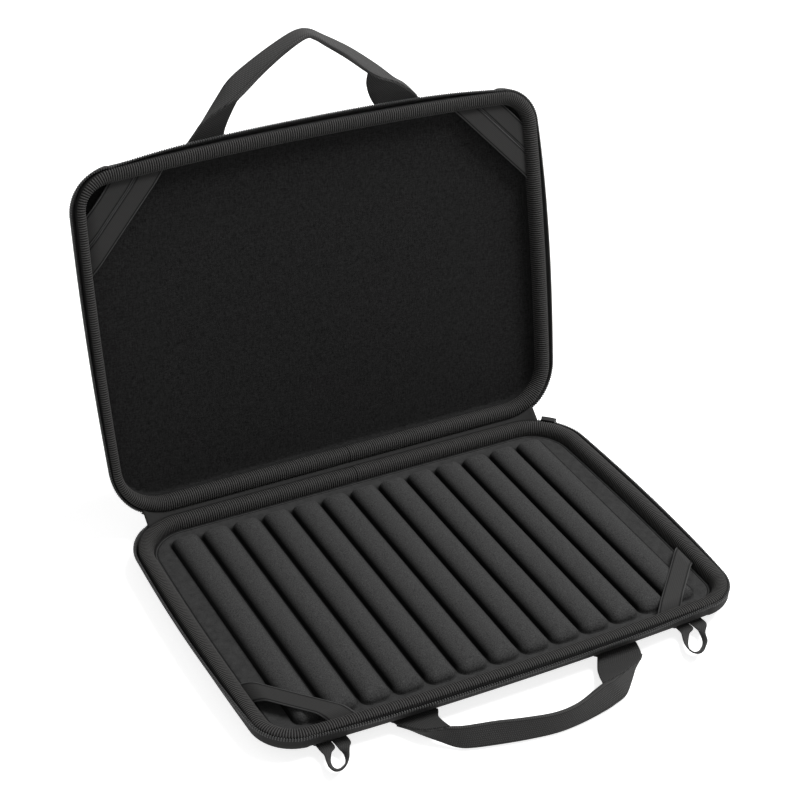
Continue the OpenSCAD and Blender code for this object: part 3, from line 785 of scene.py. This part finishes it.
def tape_edge(run, lid):
    """How far out the tape's free edge leans, and how high it stands."""
    if not lid:
        return run[:, 4], HALF_H - TAPE_HIGH - BASE_DROOP * run[:, 4] / ZIP_FLARE
    y = ring(run, 0, 0)[:, 1]
    leftward = np.clip(-np.cos(run[:, 3]), 0, 1)
    on_left = LID_LEAN * np.clip((HALF_D - y) / (2 * HALF_D), 0.02, 1) ** 0.7
    lean = on_left * leftward + LID_LEAN / ZIP_FLARE * run[:, 4] * (1 - leftward)
    return lean, HALF_H - TAPE_HIGH - LID_DROOP * lean / LID_LEAN


def wall_in(z):
    """How far the shell's outer face lies in from the rim's, at a height."""
    if z >= DOME_H:
        return 0.0
    return DOME_W * (1 - math.sin(math.acos(1 - z / DOME_H)))


def tape_thickness(run):
    """The tape's, which thins where it runs out round the hinge corners."""
    turn = np.abs(np.degrees(run[:, 3]))
    turn = np.where(turn > 90, 180 - turn, turn)
    back = np.clip((turn - THIN_FROM) / (TAPE_TURN - THIN_FROM), 0, 1) * (run[:, 1] > 0)
    return TAPE_T * (1 - 0.5 * back)


def zip_tape(lid):
    """The tape, sewn low on the shell and leaning out to its teeth."""
    run = outline(2.0, TAPE_TURN)
    lean, top = tape_edge(run, lid)
    full = tape_thickness(run)
    low = HALF_H - TAPE_LOW
    columns, thick = [], []
    for z, share in ((8.6, 0.35), (9.0, 0.7), (9.5, 0.85)):
        columns.append(ring(run, wall_in(z) - 0.04 - full * share / 2, z))
        thick.append(full * share)
    for u, share in zip(np.linspace(0, 1, 9), (0.95, 1, 0.86, 0.8, 0.8, 0.8, 0.8, 0.9, 1)):
        z = low + (top - low) * u
        wall = np.array([wall_in(h) for h in z])
        columns.append(ring(run, wall - (0.05 + 0.1 * u) - full / 2 - lean * u**1.6, z))
        thick.append(full * share)
    grid = np.stack(columns, axis=1)
    if lid:
        grid = on_lid(grid)
    return thick_sheet("lid_tape" if lid else "base_tape", grid, np.stack(thick, axis=1), tape_cloth)


def teeth(lid):
    """One small rounded tooth after another, each clasping the tape's edge."""
    run = outline(0.25, TEETH_TURN)
    lean, top = tape_edge(run, lid)
    line = ring(run, -(SKIN_GAP + tape_thickness(run) / 2 + lean), top)
    along = running_length(line)
    count = int(along[-1] / TOOTH_PITCH)
    at = (np.arange(count) + 0.5) * along[-1] / count
    centre, ahead, behind = (
        np.column_stack([np.interp(at + d, along, line[:, k]) for k in range(3)]) for d in (0, 0.2, -0.2))
    forward = ahead - behind
    forward /= np.linalg.norm(forward, axis=1, keepdims=True)
    outward = np.column_stack([-forward[:, 1], forward[:, 0], 0 * at])
    outward *= np.sign((centre[:, :2] * outward[:, :2]).sum(axis=1))[:, None]
    up = np.array([0, 0, 1.0])
    # Section of a tooth, out and up, and how it narrows to its two ends
    section = [(-0.85, -0.9), (-0.95, 0.25), (-0.5, 0.95), (0.5, 0.95), (0.9, 0.25), (0.7, -0.9)]
    ends = [(-0.5, 0.72), (-0.3, 1.0), (0.3, 1.0), (0.5, 0.72)]
    verts, faces, uvs = [], [], []
    for c, f, o in zip(centre, forward, outward):
        base = len(verts)
        for e, k in ends:
            for a, b in section:
                verts.append(c + f * e * TOOTH_LEN + o * a * k + up * b * k)
        n = len(section)
        for i in range(len(ends) - 1):
            for j in range(n):
                j2 = (j + 1) % n
                a, b = base + i * n, base + (i + 1) * n
                faces.append((a + j, a + j2, b + j2, b + j))
        faces.append(tuple(base + j for j in range(n)))
        faces.append(tuple(base + (len(ends) - 1) * n + j for j in range(n)))
    for face in faces:
        uvs += [(0.0, 0.0)] * len(face)
    verts = np.array(verts)
    if lid:
        verts = on_lid(verts)
    obj = add_mesh("lid_teeth" if lid else "base_teeth", verts, faces, uvs, teeth_plastic)
    face_outward(obj.data)
    return obj


for lid in (False, True):
    side = "lid" if lid else "base"
    body = side + "_half"
    fitted(half_skin(lid), body, "shell_fabric", side + "_shell")
    pad = fitted(wall_foam(lid), body, "foam", side + "_wall_pad")
    fitted(binding(lid), body, "binding_tape", side + "_binding")
    fitted(zip_tape(lid), body, "zip_tape", side + "_zip_tape")
    fitted(teeth(lid), body, "zip_teeth", side + "_zip_teeth")

slab = fitted(foam_slab("base_core_slab", 4.1, 4.8, False), "base_half", "foam", "base_foam_core")
lid_slab = fitted(foam_slab("lid_core_slab", 4.1, 1.5, True), "lid_half", "foam", "lid_foam_sheet")


# -------
# Ribbed pad of the base
# -------
def rounded_box_ring(half_x, half_y, r, count=8):
    """A rounded rectangle about the origin, the same count at each corner."""
    pts = []
    for cx, cy, start in ((1, 1, 0), (-1, 1, 90), (-1, -1, 180), (1, -1, 270)):
        for k in range(count + 1):
            a = math.radians(start + 90 * k / count)
            pts.append((cx * (half_x - r) + r * math.cos(a), cy * (half_y - r) + r * math.sin(a)))
    return np.array(pts)


def foam_rib(x, number):
    """A crowned rib: rings that step in from its outline and rise."""
    rows = []
    front = front_at(x) + RIM_IN + 0.1 + RIB_FRONT_GAP
    half_w, half_l = RIB_W / 2, (RIB_BACK - front) / 2
    middle = (RIB_BACK + front) / 2
    corner = 6.0
    height = RIB_H * (1 + 0.012 * math.sin(number * 2.3))
    insets = [-0.55, -0.2, 0.0, 0.12, 0.35, 0.7, 1.2, 1.9, 2.8, 3.9, 5.2, 6.6, 7.9, 9.0, 9.8, 10.1]
    for d in insets:
        t = max(0.0, d) / half_w
        z = height * math.sqrt(max(0.0, 1 - (1 - t) ** 2.05))
        z += {-0.55: 0.0, -0.2: 0.04, 0.0: 0.15}.get(d, 0.2 * (1 - t) ** 8)
        r = max(corner - d, 0.3 * (half_w - d))
        flat = rounded_box_ring(half_w - d, half_l - d, r)
        rows.append(np.column_stack([
            x + flat[:, 0],
            middle + flat[:, 1],
            PANEL_TOP + 0.02 + z + 0 * flat[:, 0]]))
    return loft(f"rib_{number}", rows, rib_cloth, close_cols=True, caps=True)


panel = dish("panel", [
    (16, 9.15), (9.6, 9.15), (9.15, 9.5), (9.15, 10.5), (9.6, 10.85), (11, 10.9),
    (12.3, 10.9), (12.6, 10.62), (12.9, 10.9), (14, 10.9), (20, 10.9)], pad_cloth, False)
ribs = [foam_rib((i - (RIB_COUNT - 1) / 2) * RIB_PITCH, i) for i in range(RIB_COUNT)]
rib_pad = joined("rib_pad", [panel] + ribs)
fitted(rib_pad, "base_half", "rib_fabric", "base_panel", "foam_ribs")


# -------
# Lining of the lid: a shallow tray of thin cloth over foam
# -------
def to_spine(row, spine_half, count):
    """Rows that run from a ring in to a line along its middle."""
    target = np.column_stack([np.clip(row[:, 0], -spine_half, spine_half), 0 * row[:, 0], row[:, 2]])
    return [row * (1 - t) + target * t for t in np.linspace(0, 1, count + 1)[1:]]


def lid_lining():
    run = ring_run
    levels = [(9.3, 11.0), (9.2, 11.1), (9.9, 11.15), (10.2, 10.8), (10.2, 8.4), (10.5, 7.5),
              (11.3, 6.95), (12.2, 6.8)]
    wall = len(levels)
    front = [ring(run, s, z, True) for s, z in levels]
    front += to_spine(front[-1], 60, 24)
    front = np.array(front)
    x, y = front[wall:, :, 0], front[wall:, :, 1]
    swell = 0.16 * np.sin(x / 31 + 0.7) * np.sin(y / 27 + 1.1) + 0.10 * np.sin(x / 13 + y / 17)
    fade = np.clip(np.arange(front.shape[0] - wall) / 4, 0, 1)[:, None]
    front[wall:, :, 2] += swell * fade
    under = [(9.2, 6.2), (9.25, 5.85), (9.6, 5.75), (16, 5.75)]
    back = np.array([ring(run, s, z, True) for s, z in under])
    rows = np.concatenate([back[::-1], front])
    obj = loft("lid_lining_cloth", on_lid(rows), lining_cloth, close_cols=True)
    face_outward(obj.data, gap=0.02)
    return obj


lining = fitted(lid_lining(), "lid_half", "lining_fabric", "lid_lining")


# -------
# Elastic straps across the corners
# -------
def crossings(line_from, line_dir, loop):
    """Lengths along a line where it crosses a closed loop of points."""
    hits = []
    for p, q in zip(loop, np.roll(loop, -1, axis=0)):
        edge = q - p
        det = line_dir[0] * -edge[1] + line_dir[1] * edge[0]
        if abs(det) < 1e-9:
            continue
        d = p - line_from
        t = (d[0] * -edge[1] + d[1] * edge[0]) / det
        s = (line_dir[0] * d[1] - line_dir[1] * d[0]) / det
        if 0 <= s < 1:
            hits.append(t)
    return min(hits), max(hits)


def corner_strap(name, side, band, lid):
    """One strap across a corner. band counts the straps out from the inner
    one."""
    slope = math.radians(90 - STRAP_SLOPE)
    n = np.array([side * math.sin(slope), -math.cos(slope)])
    d = np.array([-n[1], n[0]])
    corner = np.array([side * HALF_W, -HALF_D])
    loop = ring(closed_outline(1.5), TUCK_IN, 0, lid)[:, :2]
    cross = np.linspace(0.1, ELASTIC_W - 0.1, 9)
    lines = []
    for w in cross:
        at = corner - (STRAP_SETBACK - band * (ELASTIC_W + 0.5) - w) * n
        lo, hi = crossings(at, d, loop)
        u = np.concatenate([
            np.linspace(0, 1, 13)[:-1] * 0.22, np.linspace(0.22, 0.78, 15),
            1 - np.linspace(1, 0, 13)[1:] * 0.22])
        t = lo + (hi - lo) * u
        reach = np.minimum(t - lo, hi - t)
        rise = np.clip(reach / TUCK_RUN, 0, 1)
        rise = np.sin(rise * math.pi / 2)
        sag = -STRAP_SAG * np.sin(u * math.pi)
        z = TUCK_Z + (1.8 if lid else HALF_H - 0.75 - TUCK_Z) * rise + sag
        lines.append(np.column_stack([at[0] + d[0] * t, at[1] + d[1] * t, z]))
    grid = np.stack(lines, axis=1)
    if lid:
        grid = on_lid(grid)
    strap = thick_sheet(name, grid, 0.8, elastic_cloth, across=cross)
    fitted(strap, "lid_half" if lid else "base_half", "elastic", name)
    strap.name = name + "_band"
    return strap


for side, word in ((-1, "left"), (1, "right")):
    corner_strap(f"base_strap_{word}", side, 0, False)
    corner_strap(f"lid_strap_{word}_inner", side, 0, True)
    corner_strap(f"lid_strap_{word}_outer", side, 1, True)


# -------
# Webbing: handles and small loops
# -------
STRAP_SECTION = [
    (-1, 0), (-0.985, 0.55), (-0.95, 0.9), (-0.88, 1), (-0.66, 1), (-0.44, 1), (-0.22, 1), (0, 1),
    (0.22, 1), (0.44, 1), (0.66, 1), (0.88, 1), (0.95, 0.9), (0.985, 0.55)]
STRAP_LOOP = STRAP_SECTION + [(-a, -b) for a, b in STRAP_SECTION]


def dome_point(turn, off):
    """A point off the dome near the front, as (out, up) from the face."""
    t = math.radians(turn)
    n = np.array([math.sin(t) / DOME_W, math.cos(t) / DOME_H])
    n /= np.linalg.norm(n)
    return np.array([DOME_W * (1 - math.sin(t)) - n[0] * off, DOME_H * (1 - math.cos(t)) - n[1] * off])


def sweep(name, path, wide, half_t, material):
    """A strap along a path. wide runs from its middle to one edge."""
    path, wide, half_t = (np.asarray(a, float) for a in (path, wide, half_t))
    along = np.gradient(path, axis=0)
    up = np.cross(along, wide)
    up /= np.linalg.norm(up, axis=1, keepdims=True)
    a = np.array([s[0] for s in STRAP_LOOP])
    b = np.array([s[1] for s in STRAP_LOOP])
    across = wide[:, None] * a[None, :, None]
    raised = (up * half_t[:, None])[:, None] * b[None, :, None]
    v = np.linalg.norm(wide, axis=1)[:, None] * a[None] + SWEEP_MIDDLE
    return loft(name, path[:, None] + across + raised, material, close_cols=True, caps=True,
                u=running_length(path), v=np.column_stack([v, v[:, 0]]))


def sewn(x, half_w, thick):
    """Left and right edges of the part of a strap that lies along the dome,
    as (x, out from the front, height) points, from its hidden end."""
    outer, inner = front_at(abs(x) + half_w), front_at(abs(x) - half_w)
    face = (outer + inner) / 2 - FRONT_Y
    slant = math.copysign((outer - inner) / 2, x * (outer - inner))
    left, right = [], []
    for turn in (33, 41, 48, 55, 61):
        p = dome_point(turn, SKIN_GAP + thick / 2 + 0.06)
        left.append((x - half_w, -(face + p[0] - slant), p[1]))
        right.append((x + half_w, -(face + p[0] + slant), p[1]))
    return left, right


def strap(name, left, right, half_t, material, lid, steps=5):
    """A strap between two edges."""
    edges = []
    for edge in (left, right):
        p = np.array(edge, float)
        p[:, 1] = FRONT_Y - p[:, 1]
        edges.append(smooth(p, steps))
    if lid:
        edges = [on_lid(e) for e in edges]
    a, b = edges
    half_t = np.interp(np.linspace(0, 1, len(a)), np.linspace(0, 1, len(half_t)), half_t)
    return sweep(name, (a + b) / 2, (b - a) / 2, half_t, material)


# Edges of the handles, as (x, out from the front, height), from left to right.
# Half of a foot folds up along a crease that starts at its outer corner. The
# crease becomes the grip's upper edge, the foot's outer edge its lower one.
# The flat half of a foot narrows to a point between the crease and its
# inner edge.
HANDLES = {
    "base": {
        "lower": [
            (-86.4, -0.6, 5.8), (-80.5, 4.8, 4.9), (-74.9, 11.2, 3.6), (-68.3, 18.4, 2.2),
            (-60.6, 27.6, 1.3), (-52.8, 32.1, 1.0), (-35.1, 36.9, 0.9), (-17.7, 40.4, 0.9),
            (0.5, 42.6, 0.9), (17.7, 41.8, 0.9), (36.2, 39.0, 0.9), (46.0, 36.4, 1.0),
            (56.0, 32.4, 1.2), (66.5, 22.6, 2.6), (73.3, 15.6, 4.0), (79.5, 11.0, 5.5),
            (83.4, 7.4, 6.0)],
        "upper": [
            (-86.6, -0.4, 6.4), (-81.8, 6.6, 7.5), (-76.5, 14.0, 9.5), (-69.9, 18.9, 12.0),
            (-63.2, 23.2, 14.5), (-55.0, 26.9, 15.0), (-36.0, 31.5, 15.2), (-19.5, 36.6, 15.2),
            (0.0, 41.0, 15.2), (16.5, 39.6, 15.2), (32.0, 33.5, 15.2), (40.5, 29.9, 14.8),
            (47.0, 28.2, 13.7), (56.2, 24.3, 11.5), (65.9, 19.5, 9.0), (78.5, 12.6, 6.7),
            (83.2, 7.8, 6.3)],
        "foot_left": ([0, 1, 2, 3, 4], [
            (-58.3, -0.2, 6.2), (-60.3, 3.5, 6.6), (-61.2, 8.5, 8.0), (-62.0, 15.5, 10.8),
            (-62.8, 22.4, 14.0)]),
        "foot_right": ([16, 15, 14, 13, 12, 11], [
            (54.3, 1.2, 6.2), (49.2, 9.5, 6.6), (46.5, 15.2, 8.0), (44.4, 19.6, 9.8),
            (42.2, 24.6, 12.2), (40.1, 29.2, 14.3)]),
    },
    "lid": {
        "lower": [
            (-86.0, -0.6, 5.9), (-80.0, 4.8, 5.0), (-74.0, 10.2, 4.0), (-61.0, 24.6, 1.9),
            (-50.3, 35.7, 1.2), (-32.3, 45.8, 1.0), (-11.5, 55.4, 1.0), (0.4, 59.2, 1.0),
            (8.9, 58.5, 1.0), (17.1, 54.0, 1.0), (36.3, 42.3, 1.1), (55.6, 27.6, 1.4),
            (67.5, 16.8, 2.6), (75.1, 11.0, 4.5), (82.6, 1.9, 6.0)],
        "upper": [
            (-86.2, -0.4, 6.4), (-80.6, 5.9, 7.5), (-74.0, 12.8, 9.0), (-61.8, 19.8, 12.0),
            (-50.5, 25.2, 14.7), (-32.2, 39.0, 15.5), (-15.0, 49.9, 15.5), (0.6, 57.2, 15.5),
            (7.4, 55.4, 15.5), (15.7, 49.3, 15.5), (29.1, 39.1, 15.5), (43.3, 26.9, 15.0),
            (52.6, 20.9, 12.5), (67.8, 13.9, 9.5), (82.8, 2.2, 6.4)],
        "foot_left": ([0, 1, 2, 3, 4], [
            (-60.2, -0.6, 6.2), (-59.6, 4.2, 6.8), (-57.6, 9.6, 8.2), (-54.4, 17.6, 11.4),
            (-51.2, 24.4, 14.0)]),
        "foot_right": ([14, 13, 12, 11], [
            (50.9, 0.4, 6.2), (46.6, 8.4, 6.7), (43.8, 17.6, 9.4), (43.4, 25.9, 14.2)]),
    },
}


def handle(name, side):
    """Two feet and the folded grip between them."""
    lid = side == "lid"
    shape = HANDLES[side]
    lower, upper = shape["lower"], shape["upper"]
    thinner = [0.8, 0.9, 1.1, 1.3]
    half_t = thinner + [1.55] * (len(lower) - 2 * len(thinner)) + thinner[::-1]
    parts = [strap(name, lower, upper, half_t, lid_grip_cloth_lit if lid else grip_cloth, lid)]
    for word, sign in (("left", -1), ("right", 1)):
        picks, inner = shape["foot_" + word]
        left, right = sewn(sign * FOOT_X, WEBBING_W / 2, WEBBING_T)
        outer = [upper[i] for i in picks]
        if sign < 0:
            left, right = left + outer, right + inner
        else:
            left, right = left + inner, right + outer
        half_t = [WEBBING_T / 2] * 8 + [0.6]
        parts.append(strap(f"{name}_{word}", left, right, half_t, foot_cloth_shaded, lid))
    obj = joined(name, parts)
    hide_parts(side + "_handle", side + "_handle_ends")
    a, b = np.array([[0, FRONT_Y - 3.5, 6.3], [0, FRONT_Y - 10.5, 6.3]])
    if lid:
        a, b = on_lid(a), on_lid(b)
    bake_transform(obj)


handle("base_webbing_handle", "base")
handle("lid_webbing_handle", "lid")

# The same for the loops. Their inner edge runs low and their outer edge high,
# so a loop opens like a shallow funnel.
LOOPS = {
    "left": {
        "outer": [
            (-138.0, 1.0, 6.3), (-137.5, 4.6, 6.4), (-138.8, 11.0, 7.2), (-139.7, 16.6, 7.8),
            (-138.2, 21.2, 8.0), (-134.0, 21.6, 8.0), (-129.8, 18.8, 8.0), (-125.6, 13.6, 7.7),
            (-120.8, 4.8, 6.6), (-118.1, 1.0, 6.3)],
        "inner": [
            (-128.6, 1.0, 6.2), (-132.0, 3.4, 5.4), (-135.0, 7.8, 3.4), (-135.4, 11.9, 2.2),
            (-133.6, 14.4, 1.7), (-130.2, 14.2, 1.7), (-126.6, 11.6, 2.2), (-125.4, 7.0, 3.6),
            (-126.9, 3.0, 5.4), (-127.4, 1.0, 6.2)],
    },
    "right": {
        "outer": [
            (117.4, 1.0, 6.3), (115.6, 5.6, 6.5), (112.9, 12.4, 7.2), (111.7, 18.2, 7.8),
            (112.2, 22.8, 8.0), (114.8, 25.0, 8.0), (118.6, 24.4, 8.0), (123.2, 20.6, 8.0),
            (127.4, 16.2, 7.6), (131.9, 8.0, 6.6), (137.6, 1.0, 6.3)],
        "inner": [
            (127.3, 1.0, 6.2), (122.6, 3.6, 5.4), (118.2, 8.6, 3.4), (116.2, 12.6, 2.2),
            (116.7, 16.0, 1.8), (118.9, 17.6, 1.7), (122.2, 16.8, 1.7), (126.4, 13.6, 2.2),
            (128.6, 9.2, 3.6), (129.2, 3.2, 5.4), (128.6, 1.0, 6.2)],
    },
}


def small_loop(name, word):
    """One loop, with its two sewn ends side by side."""
    shape = LOOPS[word]
    sign = -1 if word == "left" else 1
    first, last = (sewn(sign * LOOP_X + d, LOOP_W / 2, LOOP_T) for d in (-5.25, 5.25))
    outer = first[0] + shape["outer"] + last[1][::-1]
    inner = first[1] + shape["inner"] + last[0][::-1]
    obj = strap(name, outer, inner, [LOOP_T / 2] * 2, loop_cloth, False, steps=6)
    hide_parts("loop_" + word, *(["loop_ends"] if sign < 0 else []))
    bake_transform(obj)


small_loop("left_webbing_loop", "left")
small_loop("right_webbing_loop", "right")


# -------
# Fabric strip along the hinge
# -------
def hinge_strip():
    """The strip from skin to skin, bent where the halves meet."""
    out = HALF_D + SKIN_GAP + 0.45
    low = HALF_H - 8.6
    line = [[0, out, low], [0, out, 13], [0, out, 15.5], [0, out, 17.3]]
    lid_line = on_lid(np.array(line))[::-1]
    middle = (np.array(line[-1]) + lid_line[0]) / 2 + np.array([0, -0.1, 0.1])
    across = smooth(line + [middle.tolist()] + lid_line.tolist(), 5)
    reach = HINGE_CORNER[0] + GUSSET
    xs = np.concatenate([np.linspace(-reach, -HINGE_CORNER[0], 10)[:-1],
                         np.linspace(-HINGE_CORNER[0], HINGE_CORNER[0], 50),
                         np.linspace(HINGE_CORNER[0], reach, 10)[1:]])
    grid = []
    for x in xs:
        # Past the straight back it follows both halves round their corners
        back = math.sqrt(HINGE_CORNER_R**2 - max(0.0, abs(x) - HINGE_CORNER[0]) ** 2) - HINGE_CORNER_R
        c, q = math.cos(LID_OPEN), math.sin(LID_OPEN)
        row = []
        for k, p in enumerate(across):
            t = min(1.0, max(0.0, (k / (len(across) - 1) - 0.35) / 0.3))
            row.append([x, p[1] + back * (1 - t + t * c), p[2] - back * t * q])
        grid.append(row)
    grid = np.array(grid)
    obj = thick_sheet("hinge_strip", grid, 0.85, hinge_cloth)
    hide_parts("hinge_tape")
    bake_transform(obj)


hinge_strip()


# -------
# Metal parts keep their solids
# -------
for node in ("zip_slider", "zip_pull", "base_zip_stops", "lid_zip_stops"):
    obj = frame["nodes"][node]
    obj.data.materials.clear()
    obj.data.materials.append(slider_metal)


# -------
# Floor, backdrop and light
# -------
FLOOR = 6.0
FLOOR_Z = -0.0003


def switched(tree, plain, bright, output):
    """Shows bright to rays from the camera, off a mirror or through glass,
    and plain to all others."""
    path = tree.nodes.new("ShaderNodeLightPath")
    seen = path.outputs["Is Camera Ray"]
    for ray in ("Is Glossy Ray", "Is Transmission Ray"):
        either = tree.nodes.new("ShaderNodeMath")
        either.operation = "MAXIMUM"
        tree.links.new(seen, either.inputs[0])
        tree.links.new(path.outputs[ray], either.inputs[1])
        seen = either.outputs[0]
    pick = tree.nodes.new("ShaderNodeMixShader")
    for k, source in enumerate((seen, plain, bright)):
        tree.links.new(source, pick.inputs[k])
    tree.links.new(pick.outputs[0], tree.nodes[output].inputs["Surface"])


floor_material = bpy.data.materials.new("floor_white")
floor_material.use_nodes = True
tree = floor_material.node_tree
paper = tree.nodes["Principled BSDF"]
paper.inputs["Base Color"].default_value = (0.82, 0.82, 0.82, 1)
paper.inputs["Roughness"].default_value = 0.9
glow = tree.nodes.new("ShaderNodeEmission")
glow.inputs["Strength"].default_value = 0.78
add = tree.nodes.new("ShaderNodeAddShader")
tree.links.new(paper.outputs[0], add.inputs[0])
tree.links.new(glow.outputs[0], add.inputs[1])
switched(tree, paper.outputs[0], add.outputs[0], "Material Output")

floor_mesh = bpy.data.meshes.new("floor")
corners = [(a * FLOOR, b * FLOOR, FLOOR_Z) for a, b in ((-1, -1), (1, -1), (1, 1), (-1, 1))]
floor_mesh.from_pydata(corners, [], [(0, 1, 2, 3)])
floor_mesh.materials.append(floor_material)
floor = bpy.data.objects.new("floor", floor_mesh)
bpy.context.scene.collection.objects.link(floor)

world = bpy.data.worlds.new("studio")
bpy.context.scene.world = world
world.use_nodes = True
tree = world.node_tree
sky = tree.nodes["Background"]
sky.inputs["Color"].default_value = (1, 1, 1, 1)
sky.inputs["Strength"].default_value = 0.27
white = tree.nodes.new("ShaderNodeBackground")
white.inputs["Color"].default_value = (1, 1, 1, 1)
white.inputs["Strength"].default_value = 1.0
switched(tree, sky.outputs[0], white.outputs[0], "World Output")


def softbox(name, place, target, size, power):
    """A large square lamp at place, turned to face target, in metres."""
    lamp = bpy.data.lights.new(name, "AREA")
    lamp.shape = "SQUARE"
    lamp.size = size
    lamp.energy = power
    obj = bpy.data.objects.new(name, lamp)
    bpy.context.scene.collection.objects.link(obj)
    back = np.array(place, float) - np.array(target, float)
    back /= np.linalg.norm(back)
    right = np.cross([0, 0, 1], back)
    right /= np.linalg.norm(right)
    up = np.cross(back, right)
    obj.matrix_world = placed(right, up, back, place)


softbox("softbox_top", (0.85, -0.15, 1.55), (0, 0.0, 0.05), 0.8, 34)
softbox("softbox_left", (-1.0, -1.8, 1.0), (0, 0.05, 0.1), 1.2, 4)

bpy.context.scene.view_settings.view_transform = "Standard"
